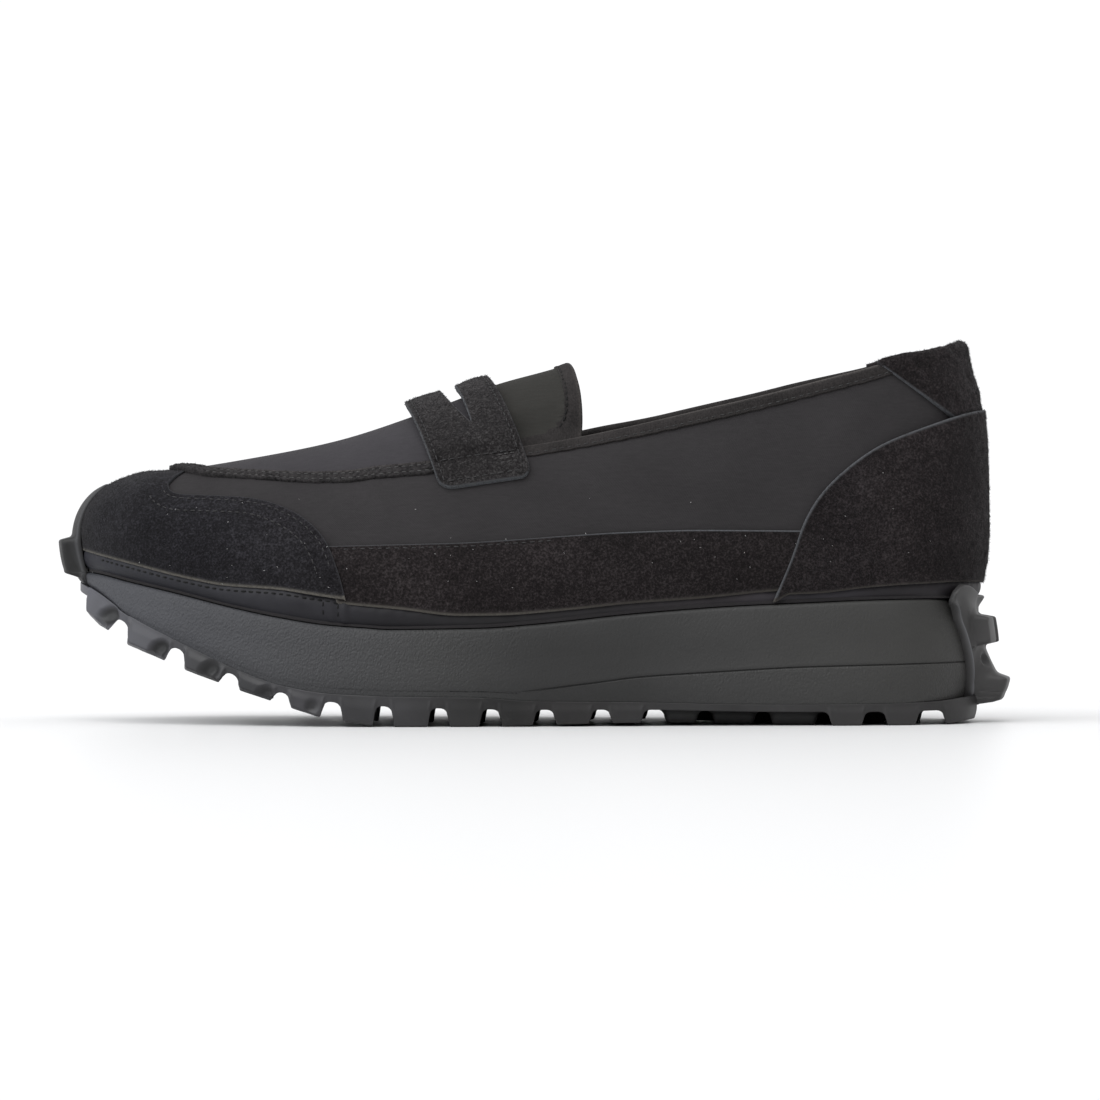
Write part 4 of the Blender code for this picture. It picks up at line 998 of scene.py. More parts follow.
# the last pair of colours paints the apron lighter than the sides: painted light on the upward-facing cloth
NYLON = nylon_look("nylon weave", (0.0195, 0.0181, 0.0190), (0.0275, 0.0256, 0.0268),
                   ((0.0264, 0.0247, 0.0275), (0.0372, 0.0350, 0.0388)))
TONGUE_CLOTH = nylon_look("tongue weave", (0.0185, 0.0178, 0.0160), (0.0265, 0.0256, 0.0232))
LINING = lining_look("lining knit", (0.010, 0.0094, 0.0094), (0.020, 0.019, 0.0185))
BINDING = binding_look("binding tape", (0.0080, 0.0071, 0.0070), (0.0275, 0.0245, 0.0240))
TAPE = binding_look("apron tape", (0.0030, 0.0027, 0.0028), (0.0345, 0.0318, 0.0325), 0.95, 0.30)
SOCK = lining_look("sock cloth", (0.012, 0.012, 0.012), (0.024, 0.024, 0.024))
# the shade stops below are painted shade: the toe cap darker at its front, the strips darker towards the heel, the
# counter darker at its front
CAP_SUEDE = suede_look("toe suede", (0.0022, 0.0021, 0.0024), (0.0090, 0.0085, 0.0098), (0.031, 0.030, 0.0335),
                       painted_shade=[(-134, (0.62, 0.62, 0.65)), (-100, (0.95, 0.95, 1.0)), (-60, (0.98, 0.96, 0.97))])
STRIP_SUEDE = suede_look("strip suede", (0.0029, 0.0023, 0.0023), (0.0117, 0.0094, 0.0097), (0.040, 0.034, 0.0348),
                         painted_shade=[(-60, (0.86, 0.86, 0.86)), (-34, (0.98, 0.98, 0.98)), (-10, (0.98, 0.98, 0.98)), (18, (0.85, 0.85, 0.85)), (46, (0.80, 0.80, 0.80)), (66, (0.66, 0.65, 0.65))])
COUNTER_SUEDE = suede_look("counter suede", (0.0026, 0.0020, 0.0021), (0.0118, 0.0094, 0.0098), (0.041, 0.0345, 0.0355),
                           painted_shade=[(70, (0.76, 0.76, 0.76)), (94, (0.82, 0.82, 0.84)), (108, (1.0, 1.0, 1.0)), (130, (0.95, 0.95, 0.96))])
STRAP_SUEDE = suede_look("strap suede", (0.0036, 0.0033, 0.0033), (0.0142, 0.0128, 0.0131), (0.048, 0.0455, 0.0455))
FOAM = foam_look("moulded foam")
# the tread's stops are painted shade: lighter and bluer at the toe lugs, darkest under the arch near x = -5
RUBBER = rubber_look("tread rubber", (0.0490, 0.0482, 0.0490), (0.0727, 0.0715, 0.0727), 0.40,
                     [(-128, (0.84, 0.86, 1.0)), (-110, (0.62, 0.62, 0.70)), (-98, (0.36, 0.36, 0.39)), (-83, (0.22, 0.22, 0.245)),
                      (-68, (0.51, 0.50, 0.55)), (-52, (0.42, 0.42, 0.44)), (-36, (0.33, 0.325, 0.345)), (-20, (0.21, 0.205, 0.205)),
                      (-5, (0.065, 0.06, 0.06)), (9, (0.18, 0.165, 0.168)), (40, (0.29, 0.285, 0.285)), (110, (0.31, 0.30, 0.30)),
                      (124, (0.25, 0.24, 0.24))])
RUBBER_TOE = rubber_look("toe rubber", (0.0098, 0.0096, 0.0099), (0.0155, 0.0152, 0.0156), 0.28)
RUBBER_HEEL = rubber_look("heel rubber", (0.0290, 0.0280, 0.0280), (0.0420, 0.0408, 0.0406))
BAND_LEATHER = band_look("lower band")
THREAD = thread_look("sewing thread", (0.030, 0.029, 0.029), (0.078, 0.076, 0.075))
THREAD_DARK = thread_look("dark thread", (0.012, 0.0118, 0.012), (0.046, 0.0453, 0.046))
THREAD_BLACK = thread_look("black thread", (0.002, 0.002, 0.002), (0.007, 0.007, 0.0072))
FIBRE = fibre_look("suede fibre", (0.005, 0.0046, 0.0047), (0.026, 0.024, 0.025))
LINT = fibre_look("lint", (0.30, 0.30, 0.30), (0.62, 0.61, 0.60))


# ---------------------------------------------------------------- upper
# Soft troughs (positive depth) and swells (negative), drawn on the side view:
# both ends (x, z), half width, depth, all in mm.
CREASES = table("x0 z0 x1 z1 width depth", [
    (-53, 70, -47, 55, 3.2, 0.30), (-44, 71, -37, 56, 4.6, 0.28),
    (-49, 72, -42, 57, 2.6, -0.22), (-30, 66, -24, 55, 5.0, 0.20),
    (-2, 70, 16, 59, 6.0, 0.28), (8, 74, 26, 63, 5.0, -0.22),
    (20, 84, 62, 92, 4.5, 0.30), (40, 66, 66, 62, 7.0, 0.35),
    (66, 78, 88, 92, 6.0, 0.32), (86, 82, 100, 96, 4.0, -0.20),
    (-96, 70, -76, 69, 2.6, 0.16), (30, 76, 60, 80, 9.0, -0.30),
])


def crease(p):
    """Inward shift of the upper's face at points p."""
    out = np.zeros(p.shape[:-1])
    for x0, z0, x1, z1, width, depth in zip(*CREASES.values()):
        a, ab = np.array([x0, z0]), np.array([x1 - x0, z1 - z0])
        q = p[..., [0, 2]] - a
        u = np.clip((q * ab).sum(-1) / (ab @ ab), 0, 1)
        far = np.linalg.norm(q - u[..., None] * ab, axis=-1)
        out += depth * np.exp(-(far / width) ** 2) * np.sin(PI * (0.12 + 0.76 * u))
    return out


def shell_top(phi):
    """Upper's own top edge: under the binding behind the throat."""
    top = seam(phi)
    _, fast = rise(phi, top)
    return top - 1.35 * step(THROAT_X - 3, THROAT_X + 5, plan(phi)[0]) / fast


def build_upper():
    throat = float(theta_at(THROAT_X - GAP / 2))
    front = np.linspace(0, throat, 111)
    rear = np.linspace(throat, PI, 121)[1:]
    theta = np.concatenate([front, rear])
    phi = np.concatenate([theta, 2 * PI - theta[-2:0:-1]])
    n, rows, apron = len(phi), 56, 26
    top = shell_top(phi)
    share = np.linspace(0, 1, rows)
    PH = np.broadcast_to(phi[None], (rows, n)).ravel()
    T = (share[:, None] * top[None]).ravel()
    faces = [grid(rows, n, wrap=True)]
    c = len(front)
    k = np.arange(-apron, apron + 1)
    ph2, t2 = [], []
    for r in k:
        p = front if r <= 0 else 2 * PI - front
        base = shell_top(p)
        ph2.append(p)
        t2.append(base + (1 - base) * (1 - abs(r) / apron))
    faces.append(grid(2 * apron + 1, c, start=len(PH)))
    PH = np.concatenate([PH, np.concatenate(ph2)])
    T = np.concatenate([T, np.concatenate(t2)])
    P = last(PH, T)
    off = -crease(P)
    outer = skin(PH, T, off)
    inner = skin(PH, T, np.full(len(PH), -WALL))
    key = np.round(outer, 3)
    _, first, back = np.unique(key, axis=0, return_index=True, return_inverse=True)
    back = back.ravel()
    quads = back[np.concatenate(faces)]
    ok = np.array([len(set(q)) == 4 for q in quads])
    tri = np.array([[v for i, v in enumerate(q) if v not in q[:i]] for q in quads[~ok].tolist()
                    if len(set(q)) == 3], int).reshape(-1, 3)
    quads = quads[ok]
    e = np.concatenate([quads[:, [0, 1]], quads[:, [1, 2]], quads[:, [2, 3]], quads[:, [3, 0]],
                        tri[:, [0, 1]], tri[:, [1, 2]], tri[:, [2, 0]]])
    _, i, cnt = np.unique(np.sort(e, axis=1), axis=0, return_index=True, return_counts=True)
    rim = e[i[cnt == 1]]
    m = len(first)
    rimq = np.stack([rim[:, 1], rim[:, 0], rim[:, 0] + m, rim[:, 1] + m], -1)
    pts = np.concatenate([outer[first], inner[first]])
    surf = np.column_stack([s_of(np.where(PH > PI, PH - 2 * PI, PH)), T * RISE, np.zeros(len(PH))])[first]
    # apron marks the cloth above the seam, which the nylon look paints lighter as painted light
    crown = (T > seam(PH) - 0.002)[first].astype(float)
    index = np.concatenate([np.zeros(len(quads)), np.ones(len(quads) + len(rimq)),
                            np.zeros(len(tri)), np.ones(len(tri))]).astype(int)
    ob = make("upper_shell", pts, [np.concatenate([quads, quads[:, ::-1] + m, rimq]),
                                   np.concatenate([tri, tri[:, ::-1] + m])],
              [NYLON, LINING], index, {"surf": np.concatenate([surf, surf]), "apron": np.concatenate([crown, crown])}, recalc=True)
    return settle(ob, "nylon", "upper")


def by_length(phi, t, gap):
    """Stations an even distance apart along a line on the upper."""
    p = last(phi, t)
    s = np.concatenate([[0], np.cumsum(np.linalg.norm(np.diff(p, axis=0), axis=1))])
    q = np.linspace(0, s[-1], max(8, int(s[-1] / gap)))
    return np.interp(q, s, phi), q


SEWN, SEWN_DARK, SEWN_BLACK = Thread(), Thread(), Thread()


def build_tape():
    """Raised tape over the apron seam, round the toe from strap to strap."""
    end = float(theta_at(-17.0))
    phi, run = by_length(np.linspace(end, -end, 900), seam(np.linspace(end, -end, 900)), 0.42)
    top = seam(phi)
    _, fast = rise(phi, top)
    x = plan(phi)[0]
    drop = 1.15 * step(-88, -58, x) - 2.0 * (1 - step(-113, -100, x))
    thick = 1.0 + 1.05 * (1 - step(-112, -84, x))
    wave = 0.06 * np.sin(run * 2 * PI / 4.6) + 0.05 * np.sin(run * 2 * PI / 7.9 + 1)
    puff = 0.05 * np.cos(run * 2 * PI / 2.25)
    profile = [(-0.6, -0.3), (-0.6, 0.40), (-0.45, 0.75), (-0.15, 0.92), (0.35, 1.0), (0.65, 0.92), (0.9, 0.74), (1.15, 0.90),
               (1.5, 1.0), (2.0, 1.02), (2.5, 0.98), (2.8, 0.90), (3.05, 0.72), (3.3, 0.88), (3.6, 0.94), (3.95, 0.80), (4.15, 0.5),
               (4.2, 0.1), (4.2, -0.3)]

    def rib(d):
        return 0.07 * np.sin(run * 2 * PI / 2.1 + (2.4 if d < 2 else -2.4) * d) + 0.04 * np.sin(run * 2 * PI / 3.3 + 5 * d)
    ring = np.array([skin(phi, top - (d + drop + (wave if d > 3 else 0)) / fast,
                          h * thick + (puff + rib(d) if -0.3 < d < 4 else 0) if h > 0 else np.full(len(phi), h)) for d, h in profile])
    surf = np.array([np.column_stack([run, np.full(len(run), d), 0 * run]) for d, h in profile])
    lighter = np.array([np.full(len(run), 0.22 if -0.5 < d < 0.5 else 0.0) for d, h in profile])
    ob = sweep("apron_seam_tape", ring, [TAPE], attrs={"surf": surf, "lighter": lighter})
    settle(ob, "nylon")
    for d in (0.9, 3.05):
        t = top - (d + drop) / fast
        SEWN.sew(skin(phi, t, 0.76 * thick), last_normal(phi, t), 2.25, 1.55, 0.20)
    # its outer face, for the nap
    flat, count = ring.reshape(-1, 3), len(phi)
    quads = grid(len(profile), count)
    quads = quads[(quads[:, 0] // count > 0) & (quads[:, 0] // count < len(profile) - 2)]
    tris = np.concatenate([quads[:, [0, 1, 2]], quads[:, [0, 2, 3]]])
    face = np.cross(flat[tris[:, 1]] - flat[tris[:, 0]], flat[tris[:, 2]] - flat[tris[:, 0]])
    out = last_normal(phi, top)[tris[:, 0] % count]
    rows = tris[:, 0] // count
    up = np.where(rows < 3, 1.0, np.where(rows > len(profile) - 5, -1.0, 0.0))[:, None] * rise(phi, top)[0][tris[:, 0] % count]
    tris = np.where(((face * (out + up)).sum(1) > 0)[:, None], tris, tris[:, ::-1])
    return SimpleNamespace(top=flat, tris=tris)


def collar_rise(phi):
    """How far the finished topline stands above the plain shell's."""
    theta, side = fold(phi)
    x = plan(phi)[0]
    near, far = 1 - step(14, 40, x), step(62, 96, x)
    return np.where(side > 0, 0.25 + 0.75 * near + 0.75 * far, 0.55 * far)


def over_top(phi, v, h, thick_in=0.55, lift=0.0):
    """Chart over the topline: v < 0 down the outside, then a half turn, then down the inside."""
    top = seam(phi)
    up, fast = rise(phi, top)
    n = last_normal(phi, top)
    h = np.broadcast_to(np.asarray(h, float), len(phi))
    core = WALL / 2
    turn = 1.5 * PI
    a = np.clip(v / 1.5, 0, PI)
    hin = h * (1 - a / PI) + np.minimum(h, thick_in) * (a / PI)
    drop = core + BAND - lift
    tc = top - drop / fast
    mid = last(phi, tc) - core * n
    bend = mid + (core + hin)[:, None] * (np.cos(a)[:, None] * n + np.sin(a)[:, None] * up)
    out = skin(phi, tc + np.minimum(v, 0) / fast, h)
    inn = skin(phi, tc - np.maximum(v - turn, 0) / fast, -WALL - np.minimum(h, thick_in))
    return np.where((v < 0)[:, None], out, np.where((v > turn)[:, None], inn, bend))


def build_collar(name, side):
    """Folded binding over the topline from the strap to the heel tab."""
    th = np.linspace(float(theta_at(-19.0)), float(theta_at(113.0)), 520)
    phi = th if side < 0 else 2 * PI - th
    phi, run = by_length(phi, seam(phi), 0.6)
    turn = 1.5 * PI
    wave = 0.06 * np.sin(run * 2 * PI / 5.2) + 0.05 * np.sin(run * 2 * PI / 8.3 + 2)
    lift = collar_rise(phi)
    leg = BAND_LEG
    path = [-leg, -leg + 0.05, -leg + 0.18, -leg + 0.5, -leg + 0.95, -leg + 1.4, -0.7, 0.0, 0.5, 1.0, 1.5, 2.0, 2.5, 3.0, 3.55, 4.15, turn,
            turn + 0.9, turn + 1.6, turn + 2.1, turn + 2.2]
    high = [0.12, 0.42, 0.58, 0.62, 0.50, 0.60, 0.64, BAND, BAND, BAND, BAND, BAND, BAND, BAND, BAND, BAND, BAND, BAND, 0.5, 0.35, 0.15]
    ring = [over_top(phi, np.full(len(phi), v) + (wave if v < -1 else 0), h, lift=lift) for v, h in zip(path, high)]
    back = [turn + 2.2, turn + 0.4, 3.3, 1.4, -0.4, -leg]
    ring += [over_top(phi, np.full(len(phi), v), -0.25, lift=lift) for v in back]
    ring = np.array(ring)
    levels = path + back
    surf = np.array([np.column_stack([run, np.full(len(run), v), 0 * run]) for v in levels])
    lighter = np.array([np.full(len(run), 0.85 * math.exp(-((v - 1.55) / 0.5) ** 2)) for v in levels])
    settle(sweep(name, ring, [BINDING], attrs={"surf": surf, "lighter": lighter}), "nylon")
    p = over_top(phi, np.full(len(phi), -leg + 0.95), 0.50, lift=lift)
    top = seam(phi)
    _, fast = rise(phi, top)
    SEWN_DARK.sew(p, last_normal(phi, top - (1.65 + 1.9) / fast), 2.4, 1.7, 0.19)


def lower_edge(phi):
    """Height of the suede's lower edge round the shoe."""
    def height(x):
        a, b = step(-60, -50, x), step(62, 76, x)
        return cap_low(x) * (1 - a) + strip_low(x) * a * (1 - b) + counter_low(x) * b
    return crossing(phi, height)


def build_lower_band():
    """Smooth rolled strip between the suede's lower edge and the midsole."""
    s = np.linspace(0, ARC_S[np.searchsorted(ARC_PHI, 2 * PI - 1e-6)], 900, endpoint=False)
    phi = phi_of(s)
    high = lower_edge(phi)
    _, fast = rise(phi, high)
    high = high + 1.2 / fast
    x = plan(phi)[0]
    tall = high * fast
    roll = np.clip(tall / 7.0, 0.45, 1.0)
    pucker = 0.06 * np.sin(s * 2 * PI / 4.4) + 0.05 * np.sin(s * 2 * PI / 9.7 + 1.3) + 0.04 * np.sin(s * 2 * PI / 2.7)
    joint = np.exp(-((x + 55.0) / 1.1) ** 2) + 0.45 * np.exp(-((x + 58.6) / 0.9) ** 2)
    share = np.concatenate([[0, 0.05], np.linspace(0.11, 1, 13)])
    rows, levels = [], list(share) + [1.0, 0.5, 0.0]
    for q in share:
        h = -0.9 + 2.3 * roll * math.sin(PI * min(1.0, 0.02 + 0.84 * q)) ** 0.8 * (1 - 0.25 * q)
        h = h + pucker * math.exp(-((q - 0.75) / 0.2) ** 2) + 0.5 * joint * step(0.0, 0.15, q)
        rows.append(skin(phi, high * q, h))
    for q in (1.0, 0.5, 0.0):
        rows.append(skin(phi, high * q, np.full(len(phi), -1.2)))
    ring = np.array(rows)
    surf = np.array([np.column_stack([s, q * high * RISE, 0 * s]) for q in levels])
    settle(sweep("lower_band", ring, [BAND_LEATHER], wrap=True, attrs={"surf": surf}), "nylon")

    def face(ph, q):
        hi = lower_edge(ph)
        _, f = rise(ph, hi)
        hi = hi + 1.2 / f
        r = np.clip(hi * f / 7.0, 0.45, 1.0)
        h = -0.9 + 2.3 * r * np.sin(PI * np.minimum(1.0, 0.02 + 0.84 * q)) ** 0.8 * (1 - 0.25 * q)
        return skin(ph, hi * q, h), last_normal(ph, hi * q)
    # one sewn row just under the toe cap's edge, two short ones beside the joint
    for side in (1, -1):
        th = np.linspace(0.32, float(theta_at(-56.5)), 260) * side
        hi = lower_edge(th)
        _, f = rise(th, hi)
        q = 1 - 2.35 / ((hi + 1.2 / f) * f)
        SEWN_BLACK.sew(*face(th, q), 2.3, 1.7, 0.26)
        for at in (-56.9, -61.2):
            th = np.full(40, float(theta_at(at))) * side
            SEWN_BLACK.sew(*face(th, np.linspace(0.25, 0.75, 40)), 2.0, 1.5, 0.2)


# ---------------------------------------------------------------- suede pieces
RINGS = (0.12, 0.3, 0.55, 0.9, 1.4, 2.1)


def suede_height(patch, edge, full, reach, grooves=()):
    """Rounded cut edge, a pull where it is sewn, and a soft rise to full thickness."""
    d = patch.d
    h = edge * (0.66 + 0.34 * rounded(d, 0.5)) + (full - edge) * step(0.4, reach, d)
    for at, depth in grooves:
        h = h - depth * np.exp(-((d - at) / 0.5) ** 2)
    return h


def lumps(p, size, amount, seed):
    """Soft unevenness of hand-lasted suede, as a sum of a few waves."""
    r = np.random.default_rng(seed)
    out = np.zeros(len(p))
    for _ in range(7):
        k = unit(r.normal(0, 1, 3)) * 2 * PI / (size * r.uniform(0.7, 1.6))
        out += np.sin(p @ k + r.uniform(0, 2 * PI))
    return amount * out / 3


def build_toe_cap():
    rear_l, _ = locate(np.array([-54.6]), np.array([36.4]), -1)
    rear_m, _ = locate(np.array([-54.6]), np.array([36.4]), 1)
    low_phi = np.linspace(-float(rear_m[0]), float(rear_l[0]), 420)
    low = np.stack([s_of(low_phi), crossing(low_phi, cap_low) * RISE], -1)
    edge = np.stack([CAP_EDGE["x"], CAP_EDGE["z"]], -1)
    lat = side_line(edge[::-1], -1, 240)
    med = side_line(edge, 1, 240)
    a, b = phi_of(lat[-1, 0]), phi_of(med[0, 0])
    top_phi = np.linspace(a, b, 260)
    tt = seam(top_phi)
    _, fast = rise(top_phi, tt)
    top = np.stack([s_of(top_phi), (tt - 1.6 / fast) * RISE], -1)
    patch = Patch(on_upper, [np.concatenate([low[1:-1], lat, top[1:-1], med])], RINGS, 1.7)
    p = patch.p0
    on_strip = step(-74, -62, p[:, 0]) * (1 - step(52, 56, p[:, 2])) * (1 - step(0.5, 7, patch.d))
    low_edge = p[:, 2] < cap_low(p[:, 0]) + 1.1
    uv_phi, uv_t = phi_of(patch.uv[:, 0]), patch.uv[:, 1] / RISE
    _, fast = rise(uv_phi, uv_t)
    from_seam = (seam(uv_phi) - uv_t) * fast
    crown = 1 - step(1.0, 11.0, from_seam)
    h = suede_height(patch, 1.15, 1.75, 8.0) * (1 - 0.42 * crown) + 0.85 * on_strip + lumps(p, 22, 0.15, 3) * step(1, 9, patch.d)
    h = h + lumps(p, 5.0, 0.05, 4) * step(0.5, 3, patch.d)
    tan = low_edge.astype(float)
    ob = patch.solid("toe_cap_suede", h, 0.25, [CAP_SUEDE], {"tan": tan},
                     gain=np.where(low_edge, 1.0, 0.28), width=np.where(low_edge, 1.0, 0.42))
    settle(ob, "toe_suede", "toe_cap")
    for side in (-1, 1):
        uv = side_line(edge[::-1] if side < 0 else edge, side, 300)
        uv = uv[8:-6]
        keep = np.abs(uv[:, 0]) < abs(s_of(theta_at(-57.5)))
        uv = uv[keep]
        go = inward(uv, on_upper)
        go[0], go[-1] = go[1], go[-2]
        for inset, fat in ((1.8, 0.2), (6.0, 0.22)):
            q = uv + go * inset
            near = [int(np.argmin(((patch.uv - at) ** 2).sum(1))) for at in q]
            level = np.convolve(np.pad(h[near], 6, "edge"), np.full(13, 1 / 13), "valid")
            SEWN_DARK.sew(*patch.row(q, level + 0.03), 2.3, 1.6, fat)
    return patch


def build_strip(name, side):
    edge_x, edge_z = COUNTER_EDGE["x"], COUNTER_EDGE["z"]
    cap_x, cap_z = CAP_EDGE["x"][::-1], CAP_EDGE["z"][::-1]

    def ends(column):
        h = steady(STRIP, "x", column)
        x0 = float(np.interp(float(h(-58.0)), cap_z, cap_x)) - 2.6
        x1 = float(np.interp(float(h(76.0)), edge_z, edge_x)) + 2.6
        xs = np.linspace(x0, x1, 260)
        th, t = locate(xs, h(xs), side)
        phi = th if side < 0 else -th
        return np.stack([s_of(phi), t * RISE], -1)
    low, high = ends("low"), ends("high")
    loop = np.concatenate([low, high[::-1]])
    patch = Patch(on_upper, [loop], RINGS, 1.7)
    p = patch.p0
    h = suede_height(patch, 1.15, 1.7, 6.0) + lumps(p, 22, 0.12, 5 + side) * step(1, 7, patch.d)
    tan = (p[:, 2] < strip_low(p[:, 0]) + 1.4).astype(float)
    h = h + lumps(p, 5.0, 0.04, 14 + side) * step(0.5, 3, patch.d)
    top_edge = p[:, 2] > strip_high(p[:, 0]) - 1.4
    # rim paleness by edge and place: the raw edge's colour with painted highlight in it
    pale = np.where(top_edge, 0.45 + 0.4 * step(0, 30, p[:, 0]), np.where(tan > 0, 0.75 - 0.35 * step(-10, 30, p[:, 0]), 0.3))
    ob = patch.solid(name + "_suede", h, 0.25, [STRIP_SUEDE], {"tan": tan}, gain=pale, width=np.where(tan > 0, 1.0, 0.55))
    settle(ob, "strip_suede_lateral" if side < 0 else "strip_suede_medial", name)
    go = inward(high, on_upper)
    go = np.where((go[:, 1] > 0)[:, None], -go, go)
    q = (high + go * 1.2)[12:]
    q = q[np.abs(q[:, 0]) < abs(s_of(theta_at(6.0)))]
    SEWN_DARK.sew(*patch.row(q, 1.10), 2.4, 1.7, 0.2)
    return patch


def build_counter():
    def sole_line(x):
        return counter_low(x) - 2.3 * (1 - step(69.6, 75.0, x))
    th0, _ = locate(np.array([69.9]), np.array([36.2]), -1)
    lo_phi = np.linspace(float(th0[0]), 2 * PI - float(th0[0]), 420)
    low = np.stack([s_of(lo_phi), crossing(lo_phi, sole_line) * RISE], -1)
    pts = np.vstack([[69.8, 36.0], np.stack([COUNTER_EDGE["x"], COUNTER_EDGE["z"]], -1)[:-1]])
    lat = side_line(pts, -1, 200, heel=True)
    med = side_line(pts, 1, 200, heel=True)[::-1]
    hi_phi = np.linspace(phi_of(lat[-1, 0]), phi_of(med[0, 0]), 200)
    top = np.stack([s_of(hi_phi), crossing(hi_phi, counter_edge) * RISE], -1)
    loop = np.concatenate([low[1:-1], med[::-1], top[::-1][1:-1], lat[::-1]])
    patch = Patch(on_upper, [loop], RINGS, 1.3)
    p = patch.p0
    theta, _ = fold(phi_of(patch.uv[:, 0]))
    rear = step(math.radians(138), math.radians(168), theta)
    under = np.maximum(0, counter_edge(p[:, 0]) - p[:, 2])
    lower = p[:, 2] < sole_line(p[:, 0]) + 1.2
    h = suede_height(patch, 1.6, 2.3, 9.0) + lumps(p, 22, 0.16, 9) * step(1, 9, patch.d)
    h = h + 1.9 * rear * np.exp(-(under / 9.0) ** 1.3) + (lumps(p, 4.5, 0.07, 10) + lumps(p, 3.2, 0.34, 12) * rear) * step(0.3, 3, patch.d)
    ob = patch.solid("heel_counter_suede", h, np.maximum(0.25, h - 2.6), [COUNTER_SUEDE], {"tan": lower.astype(float)},
                     gain=np.where(lower, 0.45, 0.72), width=np.where(lower, 0.7, 0.9))
    settle(ob, "counter_suede", "heel_counter")
    return patch


def tab_lift(phi):
    """Tab's top above the shell's: highest at its front ends and at the very back."""
    theta, _ = fold(phi)
    front = 1 - step(float(theta_at(104)), float(theta_at(122)), theta)
    return 0.35 + 1.15 * front + 0.35 * step(math.radians(165), PI, theta)


def tab_chart(uv, h):
    phi = phi_of(uv[:, 0])
    return over_top(phi, uv[:, 1], h, 0.6, tab_lift(phi))


def build_tab():
    """Suede tab folded over the back of the topline."""
    lines = []
    for side in (-1, 1):
        x = np.linspace(102.6, 129.0, 80)
        th, t = locate(x, tab_front(x), side)
        phi = th if side < 0 else 2 * PI - th
        top = seam(phi)
        _, fast = rise(phi, top)
        v = -(top - (WALL / 2 + BAND - tab_lift(phi)) / fast - t) * fast
        lines.append(np.stack([s_of(phi), v], -1))
    lat, med = lines
    v_in = 1.5 * PI + 6.0
    s0, s1 = lat[0, 0] - 1.2, med[0, 0] + 1.2
    turn_l = np.stack([np.linspace(s0, s0, 30), np.linspace(v_in, 0.2, 30)], -1)
    turn_m = np.stack([np.linspace(s1, s1, 30), np.linspace(0.2, v_in, 30)], -1)
    foot = np.stack([np.linspace(lat[-1, 0], med[-1, 0], 90), np.interp(np.linspace(0, 1, 90), [0, 1], [lat[-1, 1], med[-1, 1]])], -1)
    brow = np.stack([np.linspace(s1, s0, 120), np.full(120, v_in)], -1)
    loop = np.concatenate([turn_l[:-1], lat, foot[1:-1], med[::-1], turn_m, brow[1:-1]])
    patch = Patch(tab_chart, [loop], RINGS, 1.2)
    p = patch.p0
    theta, _ = fold(phi_of(patch.uv[:, 0]))
    rear = step(math.radians(140), math.radians(168), theta)
    low_down = step(2.0, 18.0, -patch.uv[:, 1])
    h = suede_height(patch, 1.15, 1.5, 5.0) + lumps(p, 15, 0.16, 21) * step(0.6, 5, patch.d) + 0.75 * rear * low_down
    h = h + (lumps(p, 4.5, 0.10, 22) + lumps(p, 3.2, 0.30, 23) * (0.3 + 0.7 * rear)) * step(0.3, 2.5, patch.d)
    seam_side = patch.uv[:, 1] < -0.5
    ob = patch.solid("heel_tab_suede", h, 0.05, [COUNTER_SUEDE], {"tan": np.zeros(len(p))}, gain=np.where(seam_side, 0.8, 0.15))
    settle(ob, "tab_suede", "heel_tab")
    return patch


STRAP_X = np.linspace(-62, 40, 120)
STRAP_T = {side: crossing(theta_at(STRAP_X) if side < 0 else 2 * PI - theta_at(STRAP_X), strap_end) for side in (-1, 1)}


def strap_chart(uv, h):
    b = np.clip(uv[:, 1] / STRAP_HALF, -1.2, 1.2)
    reach = np.abs(b)
    x = STRAP_RIDGE_FRONT + STRAP_SKEW * reach ** 1.55 + uv[:, 0] * (1 + STRAP_FLARE / STRAP_WIDTH * reach ** 1.2)
    a = np.clip(uv[:, 0] / STRAP_WIDTH, 0, 1)
    theta = theta_at(x)
    phi = np.where(b <= 0, theta, 2 * PI - theta)
    end = np.where(b <= 0, np.interp(x, STRAP_X, STRAP_T[-1]), np.interp(x, STRAP_X, STRAP_T[1]))
    t = 1 - (1 - end) * reach
    lift = STRAP_LIFT_FRONT * (1 - a) + STRAP_LIFT_REAR * a
    return skin(phi, t, 0.45 + lift * np.maximum(0, 1 - reach) ** 1.5 + np.asarray(h, float))


def round_loop(corners, radius, count=10):
    """Polygon with rounded corners."""
    c = np.array(corners, float)
    out = []
    for i in range(len(c)):
        p, a, b = c[i], unit(c[i - 1] - c[i]), unit(c[(i + 1) % len(c)] - c[i])
        r = radius[i] if np.ndim(radius) else radius
        half = math.acos(float(np.clip(a @ b, -1, 1))) / 2
        r = min(r, 0.45 * min(np.linalg.norm(c[i - 1] - p), np.linalg.norm(c[(i + 1) % len(c)] - p)) * math.tan(half))
        if r < 0.01:
            out.append(p)
            continue
        centre = p + unit(a + b) * r / math.sin(half)
        p0, p1 = p + a * r / math.tan(half) - centre, p + b * r / math.tan(half) - centre
        ang = math.atan2(p0[0] * p1[1] - p0[1] * p1[0], p0 @ p1)
        for q in np.linspace(0, ang, count):
            out.append(centre + np.array([p0[0] * math.cos(q) - p0[1] * math.sin(q), p0[0] * math.sin(q) + p0[1] * math.cos(q)]))
    return np.array(out)


def densify(loop, gap):
    out = []
    for a, b in zip(loop, np.roll(loop, -1, axis=0)):
        n = max(1, int(np.linalg.norm(b - a) / gap))
        out += [a + (b - a) * k / n for k in range(n)]
    return np.array(out)


